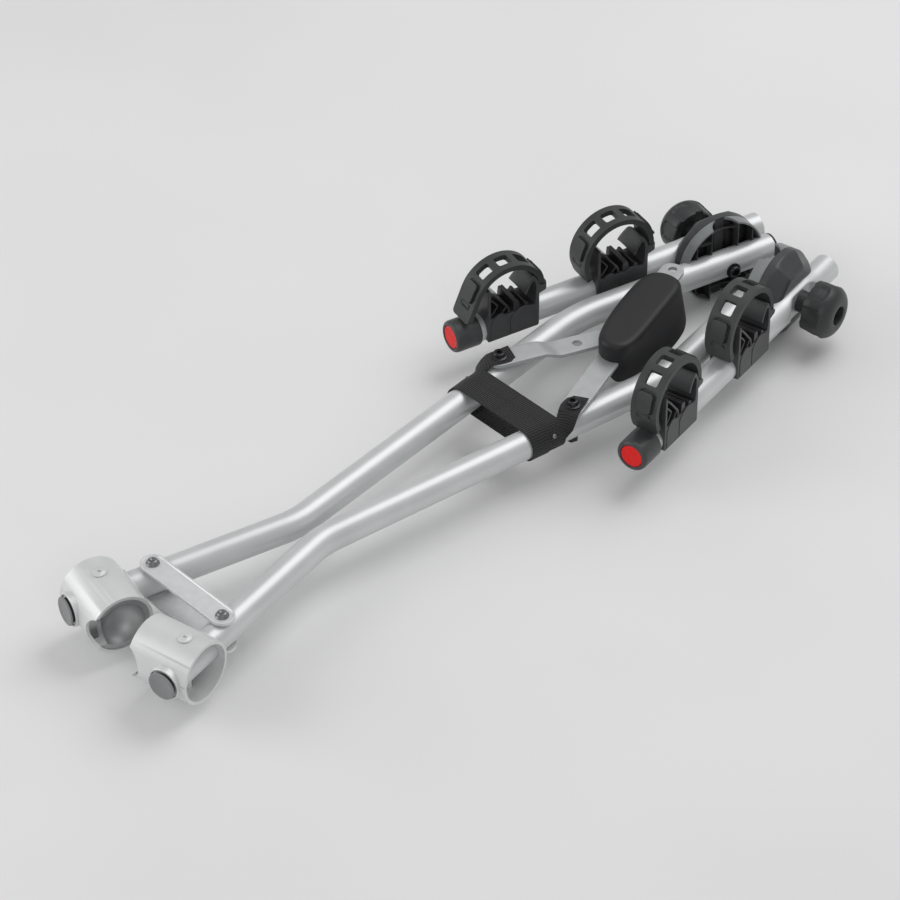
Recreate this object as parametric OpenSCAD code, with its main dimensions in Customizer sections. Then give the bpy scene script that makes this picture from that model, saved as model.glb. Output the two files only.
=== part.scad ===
// Folding tow-ball rack for two bicycles, shown folded and lying on its back.
// X runs across the rack, Y along the legs from the ball clamp to the arm hinges, Z up.
// The ball clamp is at the low Y end. Side B is at +X, side A is its mirror image.

/* [Legs] */
// Outside diameter of the leg and arm tubes
tube_d = 30; // [24:1:34]
// Wall of the leg and arm tubes
tube_wall = 2; // [1.5:0.25:3]
// Gap between the top ends of the legs when folded
top_gap = 2.3; // [1:0.1:8]
// Angle of each of the two bends in a leg
bend_angle = 18.9; // [17:0.1:21]
// Leg from its plug to the link bolt
foot_len = 95.4; // [90:0.2:104]
// Leg from the link bolt to the first bend
shin_len = 156.2; // [140:0.2:170]
// Leg between the two bends
thigh_len = 432; // [410:1:450]
// Leg from the second bend to its top end
top_len = 243; // [236:1:252]
// Centre-line radius of the first bend
bend_r1 = 90; // [60:5:130]
// Centre-line radius of the second bend
bend_r2 = 180; // [120:5:220]

/* [Link plates] */
// Distance between the two link bolts
link_pitch = 102.4; // [100:0.2:112]
// Width of a link plate
link_w = 25; // [20:1:28]
// Thickness of a link plate
link_t = 3.5; // [2.5:0.25:4]
// Shank diameter of the link bolts
link_bolt_d = 8; // [6:0.5:9]
// Diameter of the link bolt heads
link_head_d = 13.5; // [12:0.5:16]

/* [Ball clamp] */
// Outside diameter of a clamp sleeve
sleeve_d = 65; // [62:0.5:70]
// Wall of a clamp sleeve
sleeve_wall = 3.25; // [2.5:0.25:4]
// Distance from the plug face to the sleeve axis
sleeve_back = 39; // [37.5:0.25:42]
// Sleeve length outside the leg axis
sleeve_out = 23; // [20:1:30]
// Sleeve length inside the leg axis
sleeve_in = 45; // [42:0.5:47]
// Diameter of the tow ball
ball_d = 50; // [48:0.5:51]
// Diameter of the notch for the ball neck
neck_d = 38; // [32:1:42]
// Wall of the pressed ball cup
cup_wall = 3; // [2:0.25:3.25]

/* [Toggle] */
// Distance from the toggle bolt to the second bend along the leg
toggle_below = 123.5; // [115:0.5:140]
// Width of the toggle strips
strip_w = 25; // [20:1:27]
// Thickness of the toggle strips
strip_t = 4.5; // [3:0.25:5]
// Distance from its bolt to the lock hole in the toggle link
link_hole_at = 87; // [78:1:92]
// Diameter of the lock hole in the toggle link
link_hole_d = 10; // [8:0.5:12]
// Distance from its bolt to the lock hole in the lever
tab_hole_at = 248; // [238:1:252]
// Diameter of the lock hole in the lever tab
tab_hole_d = 9; // [7:0.5:10]
// Radius of the round end of the lever tab
tab_r = 10.5; // [9:0.5:12]
// Start of the grip along the lever
grip_start = 84; // [84:1:94]
// Length of the grip
grip_len = 136; // [118:1:140]
// Height of the grip above the lever
grip_rise = 22; // [18:1:30]
// Reach of the grip to the outer side of the lever
grip_out = 40; // [39:0.5:44]
// Reach of the grip to the inner side of the lever
grip_in = 21; // [18:0.5:22]

/* [Arms] */
// Distance between the leg axis and the arm axis
arm_gap = 38; // [37:0.25:42]
// Distance that the top end of the leg stands past its hinge saddle
top_past = 6; // [3:0.5:12]
// Distance from the hinge to the reflector face
arm_reach = 317; // [305:1:330]
// Distance from the hinge to the back end of the arm
arm_tail = 66; // [58:1:72]
// Diameter of the end cap
cap_d = 35; // [33:0.5:37]
// Length of the end cap
cap_len = 32; // [28:1:34]
// Diameter of the reflector disc
reflector_d = 25; // [20:0.5:27]
// Diameter of the hinge saddle discs
saddle_d = 98; // [90:1:104]
// Thickness of one hinge saddle disc
saddle_t = 17; // [12:0.2:17.4]
// Diameter of the hinge bolt
hinge_bolt_d = 8; // [6:0.5:10]
// Outside diameter of a knob
knob_d = 54; // [46:1:60]
// Length of a knob
knob_len = 27; // [22:1:32]

/* [Cradles] */
// Distance from the reflector face to the first cradle
cradle_at = 36; // [35:0.5:42]
// Distance between the two cradles of arm A
cradle_pitch_a = 134; // [130:1:146]
// Distance between the two cradles of arm B
cradle_pitch_b = 140; // [130:1:146]
// Length of a cradle along the arm
cradle_len = 62; // [60:1:68]
// Width of a cradle across the arm
cradle_w = 34; // [30:1:35]
// Height of the near wall of a cradle above the arm axis
near_wall_h = 57; // [46:1:58]
// Height of the far wall of a cradle above the arm axis
far_wall_h = 54; // [50:1:56]
// Width of the rubber strap
strap_w = 30; // [24:1:32]
// Thickness of the rubber strap
strap_t = 6; // [4:0.5:7]

/* [Webbing] */
// Width of the webbing band
web_w = 23; // [18:1:24]
// Thickness of the webbing
web_t = 1.3; // [1:0.1:1.3]
// Distance below the toggle bolt at which the webbing starts
web_below = 16.5; // [16.5:0.5:20]

/* [Hidden] */

$fn = 64;
eps = 0.5;
run_fit = 0.05;
seat_fit = 0.05;
gap = 0.4;

tube_r = tube_d / 2;
bore_r = tube_r - tube_wall;
bend_swell = 0.15;
bend_tuck = 1;
bend_t1 = bend_r1 * tan(bend_angle / 2);
bend_t2 = bend_r2 * tan(bend_angle / 2);
knee_x = thigh_len * sin(bend_angle);
knee_y = shin_len + thigh_len * cos(bend_angle);
leg_top_y = knee_y + top_len;
saddle_r = saddle_d / 2;
hinge_y = leg_top_y - saddle_r - top_past;
arm_x = knee_x + arm_gap;

// The legs lean in until the inner edges of their top ends are top_gap apart
top_edge_x = knee_x - tube_r;
top_edge_reach = norm([top_edge_x, leg_top_y]);
fold_angle = acos((top_gap - link_pitch) / 2 / top_edge_reach) - atan2(leg_top_y, top_edge_x);

plate_lift = 1.1;
plate_z = tube_r + plate_lift;
washer_d = 20;
head_h = 4.2;
nut_h = 6;
nut_share = 1.8;

sleeve_r = sleeve_d / 2;
sleeve_bore_r = sleeve_r - sleeve_wall;
sleeve_y = sleeve_back - foot_len;
ball_x = -link_pitch / 2;
cup_r = ball_d / 2 + 0.2;
cup_skin_r = cup_r + cup_wall;
cup_mouth = 1.5;
collar_t = 2.6;
plug_face = 3;
plug_depth = 14;
rivet_d = 8;
rivet_flange_d = 13;
rivet_flange_t = 1.8;

toggle_at = thigh_len - toggle_below;
toggle_x = toggle_at * sin(bend_angle);
toggle_y = shin_len + toggle_at * cos(bend_angle);
toggle_len = link_pitch / 2 + toggle_x;
rest_x = link_pitch / 2 + toggle_x * cos(fold_angle) - toggle_y * sin(fold_angle);
rest_y = toggle_x * sin(fold_angle) + toggle_y * cos(fold_angle);
strip_rest = asin(rest_x / toggle_len);
strip_z = tube_r + web_t + 0.4;
link_low_z = tube_r - 0.1 - strip_t;
jog_start = 36;
jog_end = 50;
link_end_r = 9.5;
link_end_back = 8;
tab_lift = 3;
tab_jog_end = grip_start + grip_len - 8;
tab_jog_start = tab_jog_end - 12;
toggle_bolt_d = 8;
toggle_washer_d = 17;
toggle_washer_t = 1.2;
toggle_head_d = 13;
toggle_head_h = 6;
hex_r = 3.4;
hex_deep = 3;
pin_d = 10;
pin_head_d = 16;

grip_z = strip_z + strip_t + 0.1;
grip_top_z = grip_z + grip_rise;
grip_low_z = -5;
grip_skin = 2.5;
grip_end = grip_start + grip_len;
grip_split_z = strip_z - 0.2;
grip_shoulder = 9;
grip_wall = 2.3;
grip_corners = [20, 37, 30, 22];
grip_flare = 9;
corner_steps = 5;
strip_slot = 0.3;
screw_r = 1.6;
screw_head_r = 3.2;
screw_boss_r = 4.5;
screw_at = grip_start + 11;
screw_side = 6;

web_fit = 0.12;
web_lap = 2;
web_step = web_w + web_lap;
web_low = web_below + web_w + web_step;
tab_z = strip_z + strip_t + 0.1;
web_tab_w = 18;
web_tab_over = 9;

hinge_head_d = 13;
hinge_head_h = 5;
saddle_mid = arm_gap / 2;
saddle_skin = 3;
saddle_edge = 7;
saddle_rib = 2;
dome_r = saddle_r - 10;
knob_start = 25;
knob_r = knob_d / 2;
knob_lobes = 7;
knob_lobe_r = 9;
knob_lip = 4;
knob_neck_r = 12;
knob_nut_r = 8;
cap_r = cap_d / 2;
cap_lip = 3;
arm_start = 4;
reflector_deep = 2.6;
crush_w = 7;
crush_half = 14;
crush_slope = 16;
solid_half = crush_half + crush_slope + 4;

wall_near = 4;
wall_far = 5;
cradle_bottom = -10;
cradle_floor = tube_r + 3;
pad_clear = 0.3;
wall_top = 4;
lip_in = 4;
lip_out = 3;
lip_drop = 12;
pad_drop = 5;
pin_z = 36;
strap_pin_r = 2.5;
knuckle_r = 4.5;
ear_t = 2;
pin_s = cradle_at + cradle_len + gap + knuckle_r;
strap_r = cradle_len / 2 + 12;
strap_rise = 5;
strap_lean = 20;
pulled_rise = -3;
pulled_lean = -22;
pulled_turn = 6;
tail_thin = 0.15;
strap_foot_z = cap_r + 1;
window_w = 14;
window_turns = [53, 84, 115];

low_y = min(-sleeve_in * sin(fold_angle) + (sleeve_y - sleeve_r) * cos(fold_angle),
            -tube_r * sin(fold_angle) - foot_len * cos(fold_angle));
high_y = (arm_x + tube_r) * sin(fold_angle) + (hinge_y + arm_tail) * cos(fold_angle);
mid_y = (low_y + high_y) / 2;

// Puts a shape drawn around the link centre into the row frame, standing on z = 0
module stand() {
    translate([0, -mid_y, saddle_r]) children();
}

// Puts a shape drawn in the frame of leg B onto side 1 (B) or side -1 (A)
module on_leg(side) {
    stand() mirror([side < 0 ? 1 : 0, 0, 0])
        translate([link_pitch / 2, 0, 0]) rotate([0, 0, fold_angle]) children();
}

// Puts a shape drawn along an arm, with y = 0 at the reflector face, onto a side
module on_arm(side) {
    on_leg(side) translate([arm_x, hinge_y - arm_reach, 0]) children();
}

// Puts a shape drawn along a toggle strip, with its bolt at the origin, onto a side
module on_strip(side) {
    stand() translate([side * rest_x, rest_y, 0]) rotate([0, 0, side * strip_rest]) children();
}

module rod_x(r, x0, x1) {
    translate([x0, 0, 0]) rotate([0, 90, 0]) cylinder(r = r, h = x1 - x0);
}

module rod_y(r, y0, y1) {
    translate([0, y0, 0]) rotate([-90, 0, 0]) cylinder(r = r, h = y1 - y0);
}

module rod_z(r, z0, z1) {
    translate([0, 0, z0]) cylinder(r = r, h = z1 - z0);
}

module pipe_y(r, wall, y0, y1) {
    difference() {
        rod_y(r, y0, y1);
        rod_y(r - wall, y0 - eps, y1 + eps);
    }
}

// One bend of a leg, from angle 0 at the +X side of its centre
module bend(radius, r) {
    rotate_extrude(angle = bend_angle, $fn = 128) translate([radius, 0]) circle(r = r, $fn = 64);
}

// The whole run of a leg; the straights end just inside the slightly thicker bends
module leg_run(r, bend_r, extra) {
    rod_y(r, plug_face - foot_len - extra, shin_len - bend_t1 + bend_tuck);
    translate([bend_r1, shin_len - bend_t1, 0]) rotate([0, 0, 180 - bend_angle]) bend(bend_r1, bend_r);
    translate([0, shin_len, 0]) rotate([0, 0, -bend_angle])
        rod_y(r, bend_t1 - bend_tuck, thigh_len - bend_t2 + bend_tuck);
    translate([knee_x - bend_r2, knee_y + bend_t2, 0]) rotate([0, 0, -bend_angle]) bend(bend_r2, bend_r);
    translate([knee_x, 0, 0]) rod_y(r, knee_y + bend_t2 - bend_tuck, leg_top_y - plug_face + extra);
}

// A strip along +Y with a round start at the origin and a square or round end
module strip(y0, y1, z0, round_start = false, round_end = false) {
    r = strip_w / 2;
    translate([-r, y0, z0]) cube([strip_w, y1 - y0, strip_t]);
    if (round_start) translate([0, y0, z0]) cylinder(r = r, h = strip_t);
    if (round_end) translate([0, y1, z0]) cylinder(r = r, h = strip_t);
}

// A sloping piece of strip from one level to another
module strip_jog(y0, y1, z0, z1) {
    translate([strip_w / 2, 0, 0]) rotate([0, -90, 0]) linear_extrude(strip_w)
        polygon([[z0, y0], [z0 + strip_t, y0], [z1 + strip_t, y1], [z1, y1]]);
}

// Link plates and their bolts

module link_plate(z0) {
    stand() translate([0, 0, z0]) difference() {
        union() {
            translate([-link_pitch / 2, -link_w / 2, 0]) cube([link_pitch, link_w, link_t]);
            for (side = [-1, 1]) translate([side * link_pitch / 2, 0, 0]) cylinder(d = link_w, h = link_t);
        }
        for (side = [-1, 1]) translate([side * link_pitch / 2, 0, -eps])
            cylinder(d = link_bolt_d + 2 * seat_fit, h = link_t + 2 * eps);
    }
}

module link_plate_upper() {
    color("silver") link_plate(plate_z);
}

module link_plate_lower() {
    color("silver") link_plate(-plate_z - link_t);
}

module link_bolts() {
    head_z = plate_z + link_t + 0.05;
    color("dimgray") stand() for (side = [-1, 1]) translate([side * link_pitch / 2, 0, 0]) {
        rod_z(link_bolt_d / 2, -plate_z - link_t - nut_h - 2, head_z);
        translate([0, 0, head_z]) cylinder(d1 = link_head_d, d2 = link_head_d - 3, h = head_h);
    }
}

module link_nuts() {
    top = -plate_z - link_t - 0.05;
    color("dimgray") stand() for (side = [-1, 1]) translate([side * link_pitch / 2, 0, top - nut_h])
        difference() {
            cylinder(d = link_bolt_d * nut_share, h = nut_h, $fn = 6);
            translate([0, 0, -eps]) cylinder(d = link_bolt_d + 2 * seat_fit, h = nut_h + 2 * eps);
        }
}

module link_washers() {
    color("whitesmoke") stand() for (side = [-1, 1], face = [-1, 1])
        translate([side * link_pitch / 2, 0, face > 0 ? tube_r + 0.05 : -plate_z + 0.05]) difference() {
            cylinder(d = washer_d, h = plate_lift - 0.1);
            translate([0, 0, -eps]) cylinder(d = link_bolt_d + 2 * seat_fit, h = plate_lift + 2 * eps);
        }
}

// Legs

module leg_tube(side) {
    color("silver") on_leg(side) difference() {
        leg_run(tube_r, tube_r + bend_swell, 0);
        leg_run(bore_r, bore_r - bend_swell, eps);
        rod_z(link_bolt_d / 2 + run_fit, -tube_d, tube_d);
        translate([0, sleeve_y, 0]) rod_z(rivet_d / 2 + seat_fit, -tube_d, tube_d);
        translate([toggle_x, toggle_y, 0]) rod_z(toggle_bolt_d / 2 + seat_fit, -tube_d, tube_d);
        translate([knee_x, hinge_y, 0]) rod_x(hinge_bolt_d / 2 + seat_fit, -tube_d, tube_d);
    }
}

module clamp_sleeve(side) {
    color("gainsboro") on_leg(side) translate([0, sleeve_y, 0]) difference() {
        union() {
            rod_x(sleeve_r, -sleeve_in, sleeve_out);
            rod_y(tube_r + seat_fit + collar_t, -sleeve_r - 2.5, 0);
        }
        rod_x(sleeve_bore_r, -sleeve_in - eps, sleeve_out + eps);
        rod_y(tube_r + seat_fit, -sleeve_d, sleeve_d);
        translate([ball_x, 0, 0]) rod_y(neck_d / 2, -sleeve_d, 0);
        rod_z(rivet_d / 2 + seat_fit, -sleeve_d, sleeve_d);
    }
}

// Pressed cup that seats the tow ball, open towards the rack's middle
module ball_cup(side) {
    mouth = link_pitch / 2 - sleeve_in + cup_mouth;
    rim_r = sleeve_bore_r - seat_fit;
    rim_len = 7;
    color("lightgray") on_leg(side) translate([ball_x, sleeve_y, 0]) difference() {
        rotate([90, 0, 90]) rotate_extrude($fn = 96) difference() {
            intersection() {
                union() {
                    circle(r = cup_skin_r);
                    translate([0, mouth]) square([rim_r, rim_len]);
                }
                translate([0, mouth]) square([rim_r, sleeve_r]);
            }
            circle(r = cup_r);
        }
        rod_y(neck_d / 2, -sleeve_d, 0);
    }
}

module plug(r) {
    rod_y(r, 0, plug_face - 0.05);
    rod_y(bore_r - seat_fit, plug_face - eps, plug_face + plug_depth);
}

module foot_plug(side) {
    color([0.2, 0.2, 0.22]) on_leg(side) translate([0, -foot_len, 0]) plug(tube_r);
}

module top_plug(side) {
    color([0.12, 0.12, 0.13]) on_leg(side) translate([knee_x, leg_top_y, 0]) rotate([0, 0, 180])
        plug(tube_r);
}

// Tubular rivet through sleeve and leg, with a flange above and below
module sleeve_rivet(side) {
    reach = sleeve_r + 0.05;
    color("lightgray") on_leg(side) translate([0, sleeve_y, 0]) difference() {
        union() {
            rod_z(rivet_d / 2, -reach - rivet_flange_t, reach + rivet_flange_t);
            for (s = [-1, 1]) translate([0, 0, s > 0 ? reach : -reach - rivet_flange_t])
                cylinder(d = rivet_flange_d, h = rivet_flange_t);
        }
        rod_z(rivet_d / 2 - 1.2, -sleeve_d, sleeve_d);
    }
}

// Toggle bolt with its washer and, on each side, the spacer under its strip
module toggle_bolt(side) {
    washer_z = tab_z + web_t + 0.1;
    head_z = washer_z + toggle_washer_t;
    color([0.1, 0.1, 0.1]) on_leg(side) translate([toggle_x, toggle_y, 0]) difference() {
        union() {
            rod_z(toggle_bolt_d / 2, -tube_r - nut_h - 3, head_z);
            rod_z(toggle_washer_d / 2, washer_z, head_z);
            rod_z(toggle_head_d / 2, head_z, head_z + toggle_head_h);
            rod_z(toggle_bolt_d / 2 + 2, tube_r + 0.1, strip_z - 0.1);
        }
        translate([0, 0, head_z + toggle_head_h - hex_deep])
            cylinder(r = hex_r, h = hex_deep + eps, $fn = 6);
    }
}

module toggle_nut(side) {
    color([0.1, 0.1, 0.1]) on_leg(side) translate([toggle_x, toggle_y, -tube_r - 0.1 - nut_h]) difference() {
        cylinder(d = toggle_bolt_d * nut_share, h = nut_h, $fn = 6);
        translate([0, 0, -eps]) cylinder(d = toggle_bolt_d + 2 * seat_fit, h = nut_h + 2 * eps);
    }
}

// Bolt along the hinge axis, with its head on the inner side of the leg
module hinge_bolt(side) {
    head_x = knee_x - tube_r - 0.1;
    end_x = arm_x + knob_start + knob_len - 8;
    color([0.1, 0.1, 0.1]) on_leg(side) translate([0, hinge_y, 0]) difference() {
        union() {
            rod_x(hinge_bolt_d / 2, head_x - eps, end_x);
            rod_x(hinge_head_d / 2, head_x - hinge_head_h, head_x);
        }
        translate([head_x - hinge_head_h - eps, 0, 0]) rotate([0, 90, 0])
            cylinder(r = hex_r, h = hex_deep + eps, $fn = 6);
    }
}

// What both halves of a hinge saddle are cut for: the tube's channel and the bolt
module saddle_cuts() {
    translate([saddle_mid - gap / 2, 0, 0]) rod_y(tube_r + seat_fit, -saddle_d, saddle_d);
    rod_x(hinge_bolt_d / 2 + run_fit, -eps, saddle_t + eps);
}

// Half on the leg: a round shell whose ribbed open side faces the leg
module leg_saddle(side) {
    ribs_y = [-0.68, -0.23, 0.23, 0.68] * saddle_r;
    ribs_z = [-0.56, 0.56] * saddle_r;
    block = tube_r + saddle_rib;
    color([0.16, 0.16, 0.17]) on_leg(side)
        translate([knee_x + saddle_mid - gap / 2, hinge_y, 0]) mirror([1, 0, 0]) difference() {
            union() {
                difference() {
                    rod_x(saddle_r, 0, saddle_t);
                    rod_x(saddle_r - saddle_skin, saddle_skin, saddle_t + eps);
                }
                intersection() {
                    rod_x(saddle_r - saddle_skin / 2, saddle_skin / 2, saddle_t - eps);
                    union() {
                        for (y = ribs_y) translate([0, y - saddle_rib / 2, -saddle_r])
                            cube([saddle_t, saddle_rib, saddle_d]);
                        for (z = ribs_z) translate([0, -saddle_r, z - saddle_rib / 2])
                            cube([saddle_t, saddle_d, saddle_rib]);
                        translate([0, -saddle_r, -block]) cube([saddle_t, saddle_d, 2 * block]);
                    }
                }
            }
            saddle_cuts();
        }
}

// Half on the arm: a domed cover, hollow on the hidden side
module arm_saddle(side) {
    block = tube_r + saddle_skin;
    color([0.16, 0.16, 0.17]) on_leg(side)
        translate([knee_x + saddle_mid + gap / 2, hinge_y, 0]) difference() {
            union() {
                difference() {
                    union() {
                        rod_x(saddle_r, 0, saddle_edge);
                        translate([saddle_edge, 0, 0]) rotate([0, 90, 0])
                            cylinder(r1 = saddle_r, r2 = dome_r, h = saddle_t - saddle_edge);
                    }
                    rod_x(dome_r - saddle_skin, -eps, saddle_t - saddle_skin);
                }
                intersection() {
                    rod_x(dome_r - saddle_skin / 2, 0, saddle_t - saddle_skin / 2);
                    translate([0, -saddle_r, -block]) cube([saddle_t, saddle_d, 2 * block]);
                }
            }
            saddle_cuts();
        }
}

// Toggle link and lever

module toggle_link() {
    color("silver") on_strip(-1) difference() {
        union() {
            strip(0, jog_start, strip_z, round_start = true);
            strip_jog(jog_start, jog_end, strip_z, link_low_z);
            strip(jog_end, toggle_len - link_end_back, link_low_z);
            translate([-link_end_r, jog_end, link_low_z])
                cube([2 * link_end_r, toggle_len - jog_end, strip_t]);
            translate([0, toggle_len, link_low_z]) cylinder(r = link_end_r, h = strip_t);
        }
        rod_z(toggle_bolt_d / 2 + run_fit, 0, tube_d);
        translate([0, link_hole_at, 0]) rod_z(link_hole_d / 2, 0, tube_d);
        translate([0, toggle_len, 0]) rod_z(pin_d / 2 + 0.3, 0, tube_d);
    }
}

module toggle_lever() {
    color("silver") on_strip(1) difference() {
        union() {
            strip(0, tab_jog_start, strip_z, round_start = true);
            strip_jog(tab_jog_start, tab_jog_end, strip_z, strip_z + tab_lift);
            intersection() {
                strip(tab_jog_end, tab_hole_at + tab_r, strip_z + tab_lift);
                union() {
                    translate([-strip_w / 2, 0, 0])
                        cube([strip_w, tab_hole_at - strip_w / 2 + tab_r, tube_d]);
                    translate([0, tab_hole_at + tab_r - strip_w / 2, 0]) cylinder(d = strip_w, h = tube_d);
                }
            }
        }
        rod_z(toggle_bolt_d / 2 + run_fit, 0, tube_d);
        translate([0, tab_hole_at, 0]) rod_z(tab_hole_d / 2, 0, tube_d);
        translate([0, toggle_len, 0]) rod_z(pin_d / 2 + seat_fit, 0, tube_d);
        for (w = [-screw_side, screw_side]) translate([w, screw_at, 0]) rod_z(screw_r + seat_fit, 0, tube_d);
    }
}

// Riveted pin of the toggle joint; its lower end stops just above the toggle link
module toggle_pin() {
    color("dimgray") on_strip(1) translate([0, toggle_len, 0]) {
        rod_z(pin_d / 2, link_low_z + strip_t + gap, strip_z + strip_t + 0.1);
        rod_z(pin_head_d / 2, strip_z + strip_t + 0.1, strip_z + strip_t + 3);
    }
}

// Points of a rounded corner of a box, given the box corner and the angle at which the arc starts
function corner(x, y, r, start) =
    let (side_x = start == 180 || start == 90 ? 1 : -1, side_y = start >= 180 ? 1 : -1)
    [for (k = [0:corner_steps]) let (turn = start + 90 * k / corner_steps)
        [x + side_x * r + r * cos(turn), y + side_y * r + r * sin(turn)]];

// Plan outline of the grip in the lever's frame; the outer side can lean in
module grip_outline(inset, lean = 0) {
    near = grip_start + inset;
    far = grip_end - inset;
    left = -grip_in + inset;
    right = grip_out - inset - lean;
    polygon(concat(corner(left, near, grip_corners[0] - inset, 180),
                   corner(right, near, grip_corners[1] - inset, 270),
                   corner(right, far, grip_corners[2] - inset, 0),
                   corner(left, far, grip_corners[3] - inset, 90)));
}

module grip_cover() {
    slot_w = strip_w + 2 * strip_slot;
    color([0.13, 0.13, 0.14]) on_strip(1) difference() {
        hull() {
            translate([0, 0, grip_split_z]) linear_extrude(1) grip_outline(0);
            translate([0, 0, grip_top_z - grip_shoulder]) linear_extrude(1) grip_outline(2, grip_flare);
            translate([0, 0, grip_top_z - 1]) linear_extrude(1) grip_outline(grip_shoulder, grip_flare);
        }
        hull() {
            translate([0, 0, grip_split_z - 1]) linear_extrude(1) grip_outline(grip_skin);
            translate([0, 0, grip_top_z - grip_shoulder - grip_skin]) linear_extrude(1)
                grip_outline(2 + grip_skin, grip_flare);
            translate([0, 0, grip_top_z - 1 - grip_skin]) linear_extrude(1)
                grip_outline(grip_shoulder + grip_skin, grip_flare);
        }
        translate([-slot_w / 2, 0, 0]) cube([slot_w, tab_hole_at, strip_z + strip_t + strip_slot]);
        translate([-slot_w / 2, tab_jog_start, strip_z])
            cube([slot_w, grip_len, tab_lift + strip_t + strip_slot]);
    }
}

// Lower half of the grip: an outer wall, a floor and two bosses under the lever, open to the
// side where the toggle link swings
module grip_base() {
    top = grip_split_z - 0.1;
    color([0.13, 0.13, 0.14]) on_strip(1) difference() {
        union() {
            difference() {
                translate([0, 0, grip_low_z]) linear_extrude(top - grip_low_z) grip_outline(0.3);
                translate([-grip_in - eps, 0, grip_low_z + grip_skin])
                    cube([grip_in + grip_out - grip_wall + eps, grip_end + eps, tube_d]);
                translate([-grip_in - eps, 0, grip_low_z - eps])
                    cube([grip_in - screw_side - screw_boss_r, grip_end + eps, tube_d]);
            }
            for (w = [-screw_side, screw_side]) translate([w, screw_at, 0])
                rod_z(screw_boss_r, grip_low_z, strip_z - 0.1);
        }
        for (w = [-screw_side, screw_side]) translate([w, screw_at, 0])
            rod_z(screw_r + seat_fit, grip_low_z - eps, tube_d);
    }
}

module grip_screws() {
    color("dimgray") on_strip(1) for (w = [-screw_side, screw_side]) translate([w, screw_at, 0]) {
        rod_z(screw_r, grip_low_z - 0.6, strip_z + strip_t);
        rod_z(screw_head_r, grip_low_z - 1.2, grip_low_z - 0.1);
    }
}

// Arms

// Arm tube, crushed flat on its outer side where the hinge bolt goes through
module arm_tube(side) {
    color("silver") on_arm(side) {
        pipe_y(tube_r, tube_wall, arm_start, arm_reach - solid_half);
        difference() {
            rod_y(tube_r, arm_reach - solid_half, arm_reach + arm_tail);
            rod_y(bore_r, arm_reach + solid_half, arm_reach + arm_tail + eps);
            translate([crush_w, arm_reach, -tube_d]) linear_extrude(2 * tube_d)
                polygon([[0, -crush_half], [tube_r, -crush_half - crush_slope],
                         [tube_r, crush_half + crush_slope], [0, crush_half]]);
            translate([0, arm_reach, 0]) rod_x(hinge_bolt_d / 2 + run_fit, -tube_d, tube_d);
        }
    }
}

module end_cap(side) {
    color([0.14, 0.14, 0.15]) on_arm(side) difference() {
        union() {
            rod_y(cap_r, cap_lip, cap_len);
            rotate([-90, 0, 0]) cylinder(r1 = cap_r - cap_lip, r2 = cap_r, h = cap_lip);
        }
        rod_y(tube_r + seat_fit, arm_start - 0.05, cap_len + eps);
        rod_y(reflector_d / 2 + seat_fit, -eps, reflector_deep);
    }
}

module reflector(side) {
    color([0.85, 0.05, 0.04]) on_arm(side) rod_y(reflector_d / 2, 0.6, reflector_deep - 0.1);
}

// Side profile of a cradle, as distance along the arm and height
function cradle_side() = [
    [0, cradle_bottom], [0, near_wall_h - wall_top], [wall_near / 2, near_wall_h],
    [wall_near, near_wall_h - wall_top], [wall_near, cradle_floor], [cradle_len - wall_far, cradle_floor],
    [cradle_len - wall_far, far_wall_h - lip_drop], [cradle_len - wall_far - lip_in, far_wall_h - wall_top],
    [cradle_len - wall_far - lip_in / 2, far_wall_h], [cradle_len - lip_out, far_wall_h - 2 * wall_top],
    [cradle_len, far_wall_h - lip_drop - 1], [cradle_len, cradle_bottom]];

// Distance along the arm at which a cradle starts
function cradle_start(side, index) = cradle_at + index * (side < 0 ? cradle_pitch_a : cradle_pitch_b);

module across(width, points) {
    translate([-width / 2, 0, 0]) rotate([90, 0, 90]) linear_extrude(width) polygon(points);
}

module cradle(side, index) {
    pin_at = pin_s - cradle_at;
    ear_at = strap_w / 2 + gap;
    ear_len = pin_at + knuckle_r - cradle_len + 1;
    color([0.17, 0.17, 0.18]) on_arm(side) translate([0, cradle_start(side, index), 0]) difference() {
        union() {
            across(cradle_w, cradle_side());
            translate([0, pin_at, pin_z]) rod_x(strap_pin_r, -ear_at - ear_t / 2, ear_at + ear_t / 2);
            for (x = [-ear_at - ear_t, ear_at]) translate([x, cradle_len - 1, pin_z - knuckle_r])
                cube([ear_t, ear_len, 2 * knuckle_r]);
        }
        rod_y(tube_r + seat_fit, -eps, cradle_len + eps);
    }
}

// Soft insert that steps down from the near wall over two ridges
module cradle_pad(side, index) {
    near = wall_near + pad_clear;
    low = cradle_floor + 0.1;
    span = cradle_len - wall_far - pad_clear - near;
    ridges = [[0.38, 11], [0.42, 4], [0.52, 12], [0.62, 12], [0.71, 3.5], [0.8, 6], [0.9, 2]];
    color([0.1, 0.1, 0.1]) on_arm(side) translate([0, cradle_start(side, index), 0])
        across(cradle_w - 2, concat([[near, low], [near, near_wall_h - pad_drop]],
            [for (r = ridges) [near + span * r[0], low + r[1]]], [[near + span, low + 2], [near + span, low]]));
}

// The first strap of arm A is pulled over the end cap, the others hang past their cradles
function pulled(side, index) = side < 0 && index == 0;

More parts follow.
